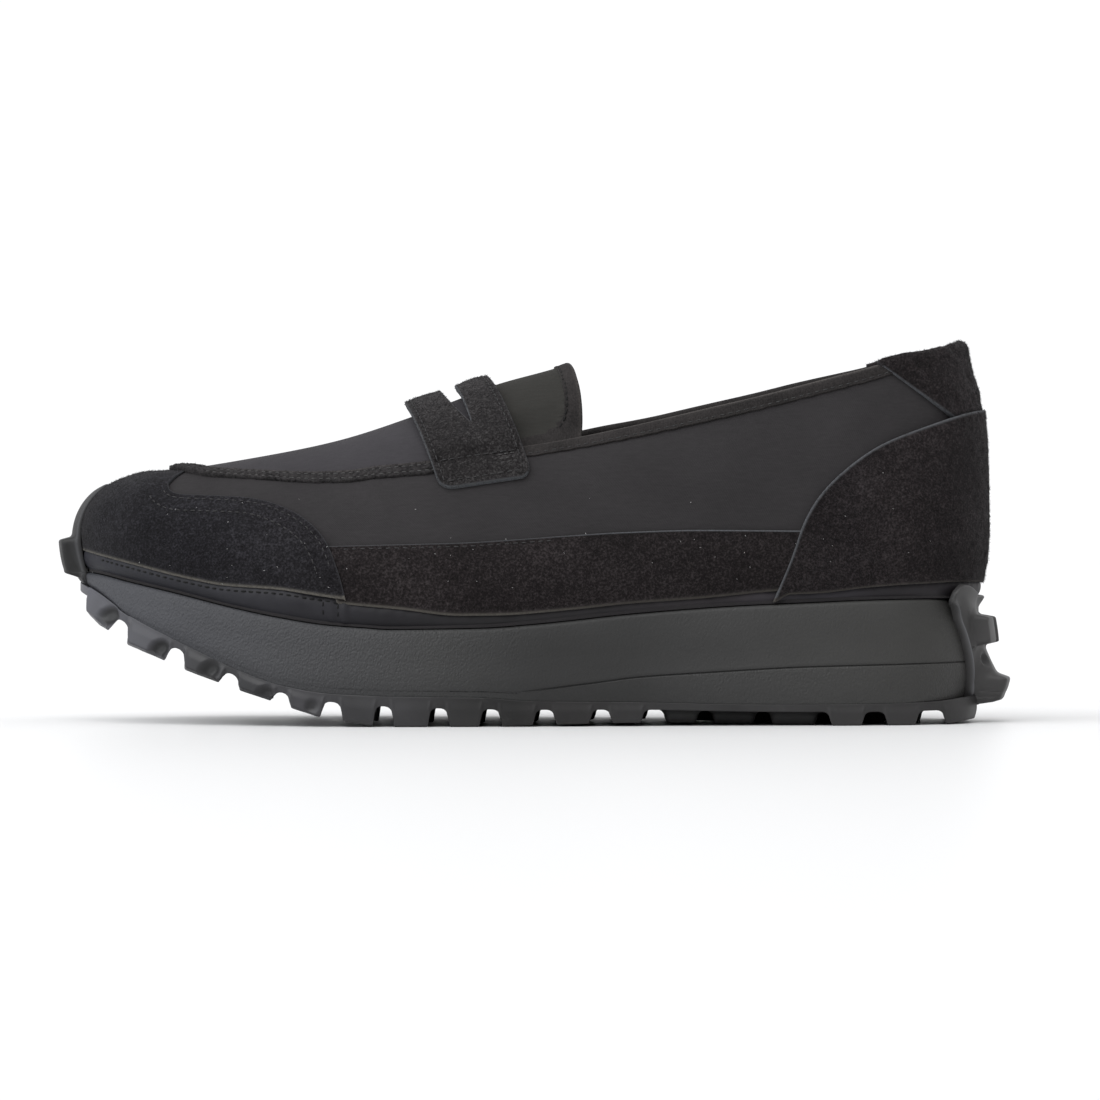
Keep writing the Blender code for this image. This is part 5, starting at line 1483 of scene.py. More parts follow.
def build_strap():
    w, L = STRAP_WIDTH, STRAP_HALF
    outer = densify(round_loop([(0, -L), (w, -L), (w, L), (0, L)], STRAP_CORNER), 0.6)
    b = np.linspace(-SLOT_REACH, SLOT_REACH, 90)
    far = np.abs(b) / SLOT_REACH
    tip = 0.12 * np.sqrt(np.maximum(0, 1 - far ** 2))
    fore = (SLOT_TIP - (SLOT_TIP - SLOT_FORE) * (1 - far ** 3)) * w - tip
    aft = (SLOT_TIP + (SLOT_AFT - SLOT_TIP) * (1 - far ** 2)) * w + tip
    slot = np.concatenate([np.stack([fore, b * L], -1), np.stack([aft, b * L], -1)[::-1][1:-1]])
    patch = Patch(strap_chart, [outer, slot], RINGS, 1.5)
    d = patch.d
    v = np.abs(patch.uv[:, 1])
    ends = step(L - 13, L - 6, v)
    body = suede_height(patch, 2.05, 2.4, 5.0, ((1.6, 0.14),))
    fold_line = L - 8.4 + 0.05 * (patch.uv[:, 0] - w / 2)
    sewn = np.exp(-((v - fold_line) / 0.9) ** 2) * step(0.3, 1.6, d)
    puff = np.exp(-((v - (L - 13)) / 3.6) ** 2)
    h = body - 1.0 * ends - 0.80 * sewn + 0.60 * puff * step(1, 6, d) + lumps(patch.p0, 12, 0.16, 33) * step(1, 5, d)
    h = h + lumps(patch.p0, 3.6, 0.07, 34) * step(0.4, 2.5, d)
    low = -0.42 * step(L - 16, L - 8, v)
    # rim paleness by edge: the raw edge's colour with painted highlight in it
    pale = np.where(patch.uv[:, 0] > w - 1.2, 0.30, np.where(patch.uv[:, 0] < 1.2, 0.62, 0.85))
    ob = patch.solid("saddle_strap_suede", h, low, [STRAP_SUEDE], {"tan": np.zeros(len(d))}, rim_rows=3, gain=pale)
    settle(ob, "strap_suede", "saddle_strap")

    def level(q):
        q = np.abs(q)
        return 2.2 - 1.0 * step(L - 13, L - 6, q) + 0.3 * np.exp(-((q - (L - 13)) / 3.6) ** 2) - 0.3 * np.exp(-((q - (L - 8.4)) / 0.9) ** 2)
    run = np.linspace(-L + 2.0, L - 2.0, 260)
    for u in (1.65, w - 1.65):
        SEWN_DARK.sew(*patch.row(np.stack([np.full(260, u), run], -1), level(run)), 2.4, 1.75, 0.2)
    for side in (-1, 1):
        u = np.linspace(2.2, w - 2.2, 90)
        q = np.stack([u, side * (L - 8.4 + 0.05 * (u - w / 2))], -1)
        SEWN_DARK.sew(*patch.row(q, level(q[:, 1])), 2.4, 1.75, 0.2)
        u = np.linspace(2.4, w - 2.4, 90)
        q = np.stack([u, np.full(90, side * (L - 1.9))], -1)
        SEWN_DARK.sew(*patch.row(q, level(q[:, 1]) - 0.05), 2.4, 1.75, 0.2)
        u = np.linspace(w - 7.4, w - 2.6, 20)
        for dv in (1.3, 2.5, 3.7):
            q = np.stack([u, side * np.full(20, L - 8.4 + dv)], -1)
            SEWN.sew(*patch.row(q, level(q[:, 1]) + 0.08), 1.6, 1.35, 0.2)
    return patch


# ---------------------------------------------------------------- tongue
TONGUE_X = np.linspace(-40, 30, 90)
TONGUE_T = {side: seam(theta_at(TONGUE_X) if side < 0 else 2 * PI - theta_at(TONGUE_X)) for side in (-1, 1)}
TONGUE_FRONT = -26.0


def tongue_chart(uv, h):
    x = uv[:, 0]
    b = np.clip(uv[:, 1] / TONGUE_HALF, -1.15, 1.15)
    theta = theta_at(x)
    phi = np.where(b <= 0, theta, 2 * PI - theta)
    collar = np.where(b <= 0, np.interp(x, TONGUE_X, TONGUE_T[-1]), np.interp(x, TONGUE_X, TONGUE_T[1]))
    t = 1 - (1 - (collar - 0.05)) * np.abs(b)
    sink = (WALL + 0.7) * (1 - step(0.03, 0.17, t - collar))
    tuck = (WALL + 0.5) * (1 - step(THROAT_X - 0.2, THROAT_X + 1.6, x))
    return skin(phi, np.minimum(t, 1), np.asarray(h, float) + 0.3 - np.maximum(sink, tuck))


def build_tongue():
    b = np.linspace(-1, 1, 160)
    rear = np.stack([tongue_rear(np.abs(b)), b * TONGUE_HALF], -1)
    front = np.stack([np.full(160, TONGUE_FRONT), b[::-1] * TONGUE_HALF], -1)
    loop = np.concatenate([rear, front])
    patch = Patch(tongue_chart, [loop], (0.1, 0.25, 0.5, 0.8, 1.2, 2.0, 3.2, 4.3, 4.5, 4.7, 4.9, 5.2), 1.4)
    p = patch.p0
    # distance from the rear edge and from the sides, blended round the corner
    uv = patch.uv
    x_rear = tongue_rear(np.abs(uv[:, 1]) / TONGUE_HALF)
    from_rear = (x_rear - uv[:, 0]) * 1.06
    across = (1 - np.abs(uv[:, 1]) / TONGUE_HALF) * TONGUE_HALF
    from_side = across - 2.4
    k = 3.5
    inner = -k * np.log(np.exp(-(from_rear - 4.75) / k) + np.exp(-(from_side - 4.75) / k))
    band = 1 - step(-0.16, 0.16, inner)
    h = -0.9 + 0.9 * rounded(np.minimum(patch.d, from_rear), 0.9) + 0.55 * band - 0.30 * np.exp(-((inner + 0.9) / 0.5) ** 2) * band
    low = -0.9 - 0.9 * rounded(patch.d, 0.9)
    mid = inner[patch.tris].mean(1) < 0
    ob = patch.solid("tongue_nylon", h, low, [TONGUE_CLOTH, BINDING], {"lighter": 0.35 * band * (1 - step(0.3, 1.2, from_rear))}, rim_rows=1,
                     tri_index=mid.astype(int), rim_index=1)
    settle(ob, "tongue_nylon", "tongue")
    # sewn row just inside the band's edge, found on the same chart
    row = []
    for v in np.linspace(-TONGUE_HALF * 0.80, TONGUE_HALF * 0.80, 240):
        xs = np.linspace(THROAT_X, float(tongue_rear(abs(v) / TONGUE_HALF)), 160)
        fr = (float(tongue_rear(abs(v) / TONGUE_HALF)) - xs) * 1.06
        fs = (1 - abs(v) / TONGUE_HALF) * TONGUE_HALF - 2.4
        q = -k * np.log(np.exp(-(fr - 4.75) / k) + np.exp(-(fs - 4.75) / k)) + 0.85
        if q.max() > 0:
            row.append((xs[np.nonzero(q > 0)[0][-1]], v))
    row = np.array(row)
    SEWN_BLACK.sew(*patch.row(row, 0.34), 2.3, 1.9, 0.24)
    return patch


# ---------------------------------------------------------------- sole
def stand_off(phi, toe, side, heel):
    theta, _ = fold(phi)
    deg = np.degrees(theta)
    at_toe = 1 - step(8, 38, deg)
    at_heel = step(142, 172, deg)
    return toe * at_toe + heel * at_heel + side * (1 - at_toe - at_heel)


SIDE_CURVES = {k: smooth(MIDSOLE_SIDE, "share", k) for k in ("toe", "side", "heel")}


def midsole_point(phi, share, extra=0.0):
    s = np.clip(share, 0, 1)
    off = stand_off(phi, SIDE_CURVES["toe"](s), SIDE_CURVES["side"](s), SIDE_CURVES["heel"](s)) + extra
    x, y = plan_offset(phi, off)
    return np.stack([x, y, sole_seam(x) * (1 - share) + sole_top(x) * share], axis=-1)


def build_midsole():
    n = 560
    s = np.linspace(0, ARC_S[np.searchsorted(ARC_PHI, 2 * PI - 1e-6)], n, endpoint=False)
    phi = phi_of(s)
    x = plan(phi)[0]
    tall = sole_top(x) - sole_seam(x)
    cut = np.clip((groove_z(x) - sole_seam(x)) / tall, 0.10, 0.85)
    fade = step(-16, 14, x)
    rows, attr = [], []

    def row(share, depth):
        e_top, e_low = (1 - share) * tall, share * tall
        extra = -1.0 * (1 - rounded(e_top, 1.0)) - 0.12 * (1 - rounded(e_low, 0.3)) - depth
        soft = lumps(np.stack([x, 0 * x, share * tall], -1), 40, 0.10, 41) * step(0, 2, np.minimum(e_top, e_low))
        rows.append(midsole_point(phi, share, extra + soft))
        fore = 0.25 + 0.75 * (1 - step(-45, 12, x))
        heel = np.where(share < cut, 0.75, 0.34) * step(20, 50, x)
        attr.append(np.maximum(fore, heel))
    for q in (0, 0.01, 0.03, 0.08, 0.2, 0.4, 0.6, 0.8, 0.93):
        row(cut * q, 0 * x)
    for off, dep in ((-0.42, 0.0), (-0.24, 0.10), (-0.10, 0.42), (0.10, 0.42), (0.24, 0.06), (0.42, -0.05)):
        row(cut + off / tall, dep * fade)
    for q in (0.06, 0.14, 0.25, 0.37, 0.5, 0.62, 0.74, 0.84, 0.90, 0.94, 0.965, 0.985, 0.995, 1.0):
        row(cut + (1 - cut) * q, 0 * x)
    ring = np.array(rows)
    k = len(rows)
    faces = [grid(k, n, wrap=True)]
    half = n // 2
    i = np.arange(1, half - 1)
    for base, flip in ((0, True), ((k - 1) * n, False)):
        quad = np.stack([base + i, base + i + 1, base + n - i - 1, base + n - i], -1)
        tip = np.array([[base, base + 1, base + n - 1], [base + half - 1, base + half, base + half + 1]])
        faces.append(quad[:, ::-1] if flip else quad)
        faces.append(tip[:, ::-1] if flip else tip)
    ob = make("midsole_foam", ring.reshape(-1, 3), faces, [FOAM], attrs={"grain": np.array(attr).ravel()}, recalc=True)
    settle(ob, "foam", "midsole")


def row_x(x, y):
    x = x + (x - LUG_FAN_X) * LUG_FAN * (y + LUG_FAN_Y) / (2 * LUG_FAN_Y)
    return np.clip(x, TOE_X + 1.4, HEEL_X - 1.0)


EDGE_THETA = np.linspace(0.01, PI - 0.01, 700)
EDGE = {}
for _side in (-1, 1):
    _phi = EDGE_THETA if _side < 0 else 2 * PI - EDGE_THETA
    EDGE[_side] = plan_offset(_phi, stand_off(_phi, **OUTSOLE_EDGE) + LUG_PROUD)


def lug_shapes():
    shapes = []
    for front, rear, setback, depth, centre in zip(*LUGS.values()):
        for side in (-1, 1):
            corners = []
            for station, out in ((front, True), (rear, True), (rear, False), (front, False)):
                edge = float(np.interp(row_x(station, side * LUG_FAN_Y), *EDGE[side])) - side * setback
                y = edge + side * 5.0 if out and setback == 0 else edge if out else edge - side * depth
                corners.append((float(row_x(station, y)), y))
            radius = [0.2, 0.2, 1.6, 1.6] if setback == 0 else 1.6
            shapes.append(round_loop(corners, radius, 6))
        if centre:
            middle = float(plan_mid(np.degrees(theta_at((front + rear) / 2))))
            back_end = rear + (7.0 if 30 < front < 100 else 1.5 * float(step(-75, -55, front)))
            corners = [(float(row_x(st, middle + d * CENTRE_LUG)), middle + d * CENTRE_LUG)
                       for st, d in ((front, -1), (back_end, -1), (back_end, 1), (front, 1))]
            shapes.append(round_loop(corners, 1.6, 6))
    return [densify(l if area_of(l) > 0 else l[::-1], 0.75) for l in shapes]


LUG_LOOPS = lug_shapes()


def lug_distance(p):
    """Signed distance to the nearest lug's outline, negative inside."""
    out = np.full(len(p), 50.0)
    for loop in LUG_LOOPS:
        lo, hi = loop.min(0) - 4, loop.max(0) + 4
        m = np.nonzero((p[:, 0] > lo[0]) & (p[:, 0] < hi[0]) & (p[:, 1] > lo[1]) & (p[:, 1] < hi[1]))[0]
        if not len(m):
            continue
        d, _ = polyline_distance(p[m], [loop])
        d = np.where(inside(p[m], loop), -d, d)
        out[m] = np.minimum(out[m], d)
    return out


def tread_z(p, s, rim):
    """Underside height at plan points: s from the lugs, rim from the sole's edge."""
    under, ground = sole_under(p[:, 0]), sole_ground(p[:, 0])
    tall = under - ground
    r = np.minimum(LUG_FILLET, 0.75 * tall)
    tip = np.minimum(LUG_TIP, 0.2 * tall)
    z = under - r * (1 - rounded(s, LUG_FILLET))
    wall = np.clip(-s / LUG_DRAFT, 0, 1)
    z = np.where(s < 0, (under - r) * (1 - wall) + (ground + tip) * wall, z)
    z = np.where(s < -LUG_DRAFT, ground + tip * (1 - rounded(-s - LUG_DRAFT, LUG_TIP)), z)
    toe = 1 - step(-74, -62, p[:, 0])
    z = z + 0.75 * toe * np.clip(-s / LUG_DRAFT, 0, 1) * (1 - step(0.6, 2.8, rim))
    return z + np.where(s < 0, tip, 0.3) * (1 - rounded(rim, LUG_TIP))


def lug_lean(p):
    """Shift of points below the sole's skin so that the toe's lugs stand square to it."""
    x = p[:, 0]
    slope = (sole_under(x + 0.5) - sole_under(x - 0.5)) * (1 - step(-66, -50, x))
    return 0.55 * slope * np.maximum(0, sole_under(x) - p[:, 2])


def build_outsole():
    # edge line, a little proud at each lug
    base = np.linspace(0, 2 * PI, 20001)[:-1]
    x, y = plan_offset(base, stand_off(base, **OUTSOLE_EDGE))
    ds = np.hypot(np.diff(x, append=x[0]), np.diff(y, append=y[0]))
    s = np.concatenate([[0], np.cumsum(ds)])
    n = int(s[-1] / 0.38)
    phi = np.interp(np.linspace(0, s[-1], n, endpoint=False), s, np.append(base, 2 * PI))
    off = stand_off(phi, **OUTSOLE_EDGE)
    p = np.stack(plan_offset(phi, off), -1)
    near = lug_distance(p)
    proud = (LUG_PROUD + 0.35 * (1 - step(-86, -60, p[:, 0]))) * (1 - step(-0.2, 0.9, near))
    outline = np.stack(plan_offset(phi, off + proud), -1)
    near = lug_distance(outline)
    z_low = tread_z(outline, near, np.zeros(n))
    nx, ny = plan_offset(phi, off + proud + 1.0)
    normal = np.stack([nx - outline[:, 0], ny - outline[:, 1]], -1)

    def dimple(z):
        out = np.zeros(n)
        for dx, dz, r, depth in zip(*DIMPLES.values()):
            q = ((outline[:, 0] - dx) ** 2 + (z - dz) ** 2) / r ** 2
            out += depth * step(1.0, 0.25, np.sqrt(q))
        return out
    z_top = sole_seam(outline[:, 0]) - 0.02
    lip = np.concatenate([[0.0, 0.025, 0.06], np.linspace(0.11, 0.93, 18), [0.975, 1.0]])
    rows, pits = [], []
    for q in lip:
        z = z_low * (1 - q) + z_top * q
        pit = dimple(z)
        # the dimples are also painted dark: painted shade in the hollows
        pits.append(np.clip(pit / 1.3, 0, 1) * 0.95)
        into = pit + 0.12 * (1 - rounded((z_top - z), 0.3))
        low_side = proud * step(0.45, 0.95, (z - z_low) / np.maximum(z_top - z_low, 0.1))
        flat = outline - normal * (into + low_side)[:, None]
        rows.append(np.column_stack([flat, z]))
    bottom = rows[0][:, :2]
    # points of the underside: the edge, rows round each lug, and a loose fill
    points, edges, count = [bottom], [(i, (i + 1) % n) for i in range(n)], n

    def add(q, keep, closed=True):
        nonlocal count
        ids = np.cumsum(keep) - 1 + count
        for i in np.nonzero(keep & np.roll(keep, -1))[0]:
            edges.append((ids[i], ids[(i + 1) % len(q)]))
        points.append(q[keep])
        count += int(keep.sum())
    for inset in (0.2, 0.42, 0.7):
        q = bottom - normal * inset
        far, _ = polyline_distance(q, [bottom])
        add(q, (far > 0.9 * inset) & inside(q, bottom))
    for loop in LUG_LOOPS:
        run = np.roll(loop, -1, axis=0) - np.roll(loop, 1, axis=0)
        out = unit(np.stack([run[:, 1], -run[:, 0]], -1))
        for dist in (2.3, 1.5, 0.85, 0.4, 0.12, 0.0, -0.4, -0.6, -1.0):
            q = loop + out * dist
            keep = inside(q, bottom) & (np.abs(lug_distance(q) - dist) < 0.06)
            far, _ = polyline_distance(q, [bottom])
            add(q, keep & (far > 0.95))
    lo, hi = bottom.min(0), bottom.max(0)
    gx, gy = np.meshgrid(np.arange(lo[0], hi[0], 3.0), np.arange(lo[1], hi[1], 2.6))
    gx = gx + (np.arange(gx.shape[0]) % 2 * 1.5)[:, None]
    q = np.stack([gx.ravel(), gy.ravel()], -1)
    q = q[inside(q, bottom)]
    far, _ = polyline_distance(q, [bottom])
    sd = lug_distance(q)
    points.append(q[(far > 1.8) & ((sd > 3.2) | (sd < -1.8))])
    uv, tris = triangulate(np.concatenate(points), edges)
    tris = tris[inside(uv[tris].mean(1), bottom)]
    used, back = np.unique(tris, return_inverse=True)
    uv, tris = uv[used], back.reshape(-1, 3)
    rim, _ = polyline_distance(uv, [bottom])
    z = tread_z(uv, lug_distance(uv), rim)
    floor_pts = np.column_stack([uv, z])
    # join the underside to the side wall where they share the edge line
    tree = kdtree.KDTree(n)
    for i, q in enumerate(bottom):
        tree.insert((q[0], q[1], 0.0), i)
    tree.balance()
    wall = np.array(rows).reshape(-1, 3)
    ids = np.arange(len(uv)) + len(wall)
    for i in np.nonzero(rim < 0.02)[0]:
        _, j, d = tree.find((uv[i, 0], uv[i, 1], 0.0))
        if d < 0.02:
            ids[i] = j
    faces = [grid(len(lip), n, wrap=True)]
    tri = ids[tris]
    # top face, hidden under the midsole
    all_pts = np.concatenate([wall, floor_pts])
    all_pts[:, 0] += lug_lean(all_pts)
    top_ids = (len(lip) - 1) * n + np.arange(n)
    i = np.arange(1, n // 2 - 1)
    b = top_ids[0]
    quad = np.stack([b + i, b + i + 1, b + n - i - 1, b + n - i], -1)
    tip = np.array([[b, b + 1, b + n - 1], [b + n // 2 - 1, b + n // 2, b + n // 2 + 1]])
    if n % 2:
        tip = np.vstack([tip, [[b + n // 2 - 1, b + n // 2 + 1, b + n // 2 + 2]]])
    # painted shade on the lugs set back under the arch, darkest near x = 84
    dark = np.interp(floor_pts[:, 0], [32, 38, 47, 53, 66, 84, 87], [0, 0.12, 0.15, 0.28, 0.40, 0.55, 0])
    ob = make("outsole_tread", all_pts, [np.concatenate([faces[0], quad]), np.concatenate([tri, tip])],
              [RUBBER], attrs={"hole": np.concatenate([np.concatenate(pits), dark])}, recalc=True, sharp=50.0)
    bm = bmesh.new()
    bm.from_mesh(ob.data)
    loose = [v for v in bm.verts if not v.link_faces]
    bmesh.ops.delete(bm, geom=loose, context="VERTS")
    bm.to_mesh(ob.data)
    bm.free()
    settle(ob, "rubber", "outsole")


# heel wrap: u runs round the heel in mm, v up it by shares of the midsole's height
WRAP_U, WRAP_V = 63.0, 30.0


def heel_chart(uv, h):
    phi = PI + uv[:, 0] / WRAP_U
    share = uv[:, 1] / WRAP_V
    turn = np.abs(np.degrees(uv[:, 0] / WRAP_U))
    over = 3.9 * step(0.74, 1.12, share) * step(5.0, 13.0, turn) + 3.5 * step(0.86, 1.04, share) * (1 - step(4.0, 11.0, turn))
    return midsole_point(phi, share, GAP * 0.3 + over + np.asarray(h, float))


def boss(p, loop, reach, fillet, draft, tip):
    """Height of a moulded block over its outline, with a soft root and rounded end."""
    d, _ = polyline_distance(p, [loop])
    s = np.where(inside(p, loop), -d, d)
    h = fillet * (1 - rounded(s, fillet))
    w = np.clip(-s / draft, 0, 1)
    h = np.where(s < 0, fillet + (reach - fillet - tip) * w, h)
    return np.where(s < -draft, reach - tip * (1 - rounded(-s - draft, tip)), h)


def emboss_patch(chart, outline, bosses, rings, pitch, gap=0.6):
    """Patch whose points also follow the outlines of the blocks standing on it."""
    patch = Patch(chart, [outline], rings, pitch, gap)
    points, edges = [patch.uv], []
    count = len(patch.uv)
    for loop, reach, fillet, draft, tip in bosses:
        run = np.roll(loop, -1, axis=0) - np.roll(loop, 1, axis=0)
        out = unit(np.stack([run[:, 1], -run[:, 0]], -1))
        for dist in (fillet, fillet * 0.6, fillet * 0.3, fillet * 0.1, 0.0, -draft, -draft - tip * 0.3, -draft - tip * 0.65, -draft - tip):
            q = loop + out * dist
            far, _ = polyline_distance(q, [patch.loops[0]])
            keep = inside(q, patch.loops[0]) & (far > max(rings))
            d, _ = polyline_distance(q, [loop])
            keep &= d > abs(dist) * 0.93
            ids = np.cumsum(keep) - 1 + count
            for i in np.nonzero(keep & np.roll(keep, -1))[0]:
                edges.append((ids[i], ids[(i + 1) % len(q)]))
            points.append(q[keep])
            count += int(keep.sum())
    keep = np.ones(len(patch.uv), bool)
    for loop, reach, fillet, draft, tip in bosses:
        d, _ = polyline_distance(patch.uv, [loop])
        keep &= ~((d < fillet + 0.35) & (patch.d > max(rings) + 0.01))
    remap = np.cumsum(keep) - 1
    shift = int((~keep).sum())
    points[0] = patch.uv[keep]
    edges = [(a - shift, b - shift) for a, b in edges]
    edges += [(remap[a], remap[b]) for a, b in patch.rim]
    uv, tris = triangulate(np.concatenate(points), edges)
    tris = tris[inside(uv[tris].mean(1), patch.loops[0])]
    used, back = np.unique(tris, return_inverse=True)
    patch.uv, patch.tris = uv[used], back.reshape(-1, 3)
    a, b, c = (patch.uv[patch.tris[:, k]] for k in range(3))
    turn = (b[:, 0] - a[:, 0]) * (c[:, 1] - a[:, 1]) - (b[:, 1] - a[:, 1]) * (c[:, 0] - a[:, 0])
    patch.tris = np.where((turn > 0)[:, None], patch.tris, patch.tris[:, ::-1])
    patch.p0 = chart(patch.uv, 0.0)
    patch.d, patch.near = polyline_distance(patch.p0, patch.flat)
    patch.rim = rim_edges(patch.tris)
    patch.d[np.unique(patch.rim)] = 0.0
    return patch


def build_heel_wrap():
    side = spline([(10.5, -0.12), (12.2, 0.04), (13.8, 0.20), (17.1, 0.50), (19.5, 0.70), (21.4, 0.82), (23.2, 0.92), (24.2, 1.0), (23.8, 1.07)], 70)
    side = np.stack([np.radians(side[:, 0]) * WRAP_U, side[:, 1] * WRAP_V], -1)
    brow = spline([(23.8, 1.07), (22.6, 1.12), (20.4, 1.155), (17.5, 1.145), (14.0, 1.10), (10.0, 1.06), (6.0, 1.04), (3.0, 1.045), (0, 1.05)], 60)[1:]
    brow = np.stack([np.radians(brow[:, 0]) * WRAP_U, brow[:, 1] * WRAP_V], -1)
    right = np.concatenate([side, brow])
    left = right[::-1] * [-1, 1]
    outline = np.concatenate([right, left[1:]])
    bosses = []
    for middle, half, low, high, reach in zip(*HEEL_STUDS.values()):
        a, b = np.radians(middle - half) * WRAP_U, np.radians(middle + half) * WRAP_U
        loop = round_loop([(a, low * WRAP_V), (b, low * WRAP_V), (b, high * WRAP_V), (a, high * WRAP_V)], 1.5, 6)
        bosses.append((densify(loop, 0.5), reach, 1.5, 0.5, 0.7 if low > 0 else 1.5))
    patch = emboss_patch(heel_chart, outline, bosses, (0.15, 0.35, 0.6, 1.0, 1.5, 2.2, 3.0), 0.75)
    d = patch.d
    share, turn = patch.uv[:, 1] / WRAP_V, np.abs(np.degrees(patch.uv[:, 0] / WRAP_U))
    beside = (1 - step(0.90, 1.02, share)) * step(7.5, 12.0, turn)
    bead = np.exp(-((d - 0.85) / 0.5) ** 2) * beside
    h = 1.6 * rounded(d, 0.7) + 0.95 * bead - 0.4 * np.exp(-((d - 2.1) / 0.7) ** 2) * beside + 0.6 * step(2.5, 6.0, d)
    ramp = np.clip((share - 0.17) / 0.50, 0, 1)
    h = h + 6.0 * (1 - ramp) ** 1.8 * step(-0.12, 0.16, share) * (1 - step(7.0, 12.5, turn))
    for loop, reach, fillet, draft, tip in bosses:
        block = boss(patch.uv, loop, reach + 0.1, fillet, draft, tip)
        h = np.maximum(h + np.minimum(block, 1.2), np.where(block > 0, 2.3 + block, 0))
    under = (1 - step(9.5, 12.0, turn)) * step(0.16, 0.02, share)
    h = h - under * (1.1 * step(0.06, -0.12, share) + 1.9 * (1 - rounded((share + 0.12) * WRAP_V, 1.9)))
    # painted shade: darker in the two dimples and over the top lobe
    hole = np.zeros(len(h))
    for u_deg, at, r, depth in ((8.6, 0.37, 1.9, 1.3), (-8.6, 0.37, 1.9, 1.3)):
        q = (patch.uv[:, 0] - math.radians(u_deg) * WRAP_U) ** 2 / r ** 2 + (patch.uv[:, 1] - at * WRAP_V) ** 2 / (1.4 * r) ** 2
        dip = step(1.0, 0.3, np.sqrt(q))
        h = h - depth * dip
        hole += 0.7 * dip
    hole += 0.22 * step(0.86, 1.08, share)
    # painted highlight along the bead beside the studs
    pale = 0.95 * np.exp(-((d - 0.85) / 0.42) ** 2) * beside * (0.45 + 0.55 * step(0.98, 0.70, share))
    ob = patch.solid("outsole_heel_wrap", h, -0.3, [RUBBER_HEEL], {"hole": hole, "pale": pale}, rim_rows=1)
    settle(ob, "rubber")


# toe wrap: u across the toe, v from the outsole's edge up over the toe cap
TOE_TIP = float(np.interp(WRAP_TOP_X, last(0.0, SAMPLES)[60:, 0], SAMPLES[60:]))
TOE_V = 46.0


def toe_chart(uv, h):
    phi = uv[:, 0] / 62.0
    q = uv[:, 1] / TOE_V
    share = np.clip(q / 0.36, -0.5, 1.1)
    low = midsole_point(phi, share, GAP + np.asarray(h, float))
    low[:, 2] = np.where(share < 0, sole_seam(low[:, 0]) + share * 5.0, low[:, 2])
    t = 0.03 + (TOE_TIP - 0.03) * np.clip((q - 0.36) / 0.64, -0.1, 1.02)
    high = skin(phi, np.maximum(t, 0.0), 1.95 + np.asarray(h, float))
    w = step(0.26, 0.52, q)[:, None]
    return low * (1 - w) + high * w


def build_toe_wrap():
    half = spline([(9.0, -0.10), (8.7, 0.10), (8.0, 0.34), (7.0, 0.60), (6.2, 0.82), (5.2, 0.95), (3.2, 1.0), (0.0, 1.005)], 120)
    right = np.stack([np.radians(half[:, 0]) * 62.0, half[:, 1] * TOE_V], -1)
    outline = np.concatenate([right, (right[::-1] * [-1, 1])[1:]])
    a = math.radians(6.6) * 62.0
    loop = densify(round_loop([(-a, 0.15 * TOE_V), (a, 0.15 * TOE_V), (a, 0.52 * TOE_V), (-a, 0.52 * TOE_V)], 1.4, 6), 0.5)
    bosses = [(loop, 3.9, 1.2, 0.5, 0.7)]
    patch = emboss_patch(toe_chart, outline, bosses, (0.12, 0.3, 0.55, 0.9, 1.4), 1.1, 0.5)
    d, q = patch.d, patch.uv[:, 1] / TOE_V
    full = TOE_WRAP * (1 - 0.5 * step(0.5, 1.0, q))
    h = full * (0.45 * rounded(d, 0.8) + 0.55 * step(0.0, 6.0, d) ** 0.7)
    for lp, reach, fillet, draft, tip in bosses:
        h = h + boss(patch.uv, lp, reach, fillet, draft, tip)
    # painted highlight along the wrap's edge
    ob = patch.solid("outsole_toe_wrap", h, -0.3, [RUBBER_TOE], {"pale": 0.30 * np.exp(-((d - 0.45) / 0.35) ** 2)}, rim_rows=1)
    settle(ob, "rubber")


def build_insole():
    def chart(uv, h):
        return np.column_stack([uv, sole_top(uv[:, 0]) + GAP + np.broadcast_to(np.asarray(h, float), len(uv))])
    phi = np.linspace(0, 2 * PI, 700, endpoint=False)
    outline = np.stack(plan_offset(phi, -2.6), -1)
    patch = Patch(chart, [outline], (0.3, 0.8, 1.6, 2.8, 4.5), 4.0, 0.9)
    d = patch.d
    h = INSOLE - 0.2 + 1.6 * (1 - step(0.0, 9.0, d)) - 0.9 * (1 - rounded(d, 0.9))
    heel = ((patch.uv[:, 0] - 88) / 30) ** 2 + (patch.uv[:, 1] / 22) ** 2
    ball = ((patch.uv[:, 0] + 62) / 34) ** 2 + (patch.uv[:, 1] / 32) ** 2
    h = h - 0.8 * np.exp(-heel) - 0.5 * np.exp(-ball)
    settle(patch.solid("insole_sock", h, 0.0, [SOCK], rim_rows=1), "sock_cloth", "insole")


# ---------------------------------------------------------------- build
build_upper()
tape = build_tape()
build_collar("collar_binding_lateral", -1)
build_collar("collar_binding_medial", 1)
build_lower_band()
cap = build_toe_cap()
strips = [build_strip("side_strip_lateral", -1), build_strip("side_strip_medial", 1)]
counter = build_counter()
tab = build_tab()
strap = build_strap()
tongue = build_tongue()
build_midsole()
build_outsole()
build_heel_wrap()
build_toe_wrap()
build_insole()
for draped in ("heel_tab_suede", "saddle_strap_suede", "tongue_nylon"):
    mend(bpy.data.objects[draped])
settle(SEWN.build("stitches_light", THREAD), "nylon")
settle(SEWN_DARK.build("stitches_dark", THREAD_DARK), "nylon")
settle(SEWN_BLACK.build("stitches_black", THREAD_BLACK), "nylon")
settle(nap("suede_nap_toe", [cap], FIBRE, 2.2, 0.6, 0.045), "toe_suede")
settle(nap("suede_nap_strips", strips, FIBRE, 2.2, 0.5, 0.045), "strip_suede_lateral")
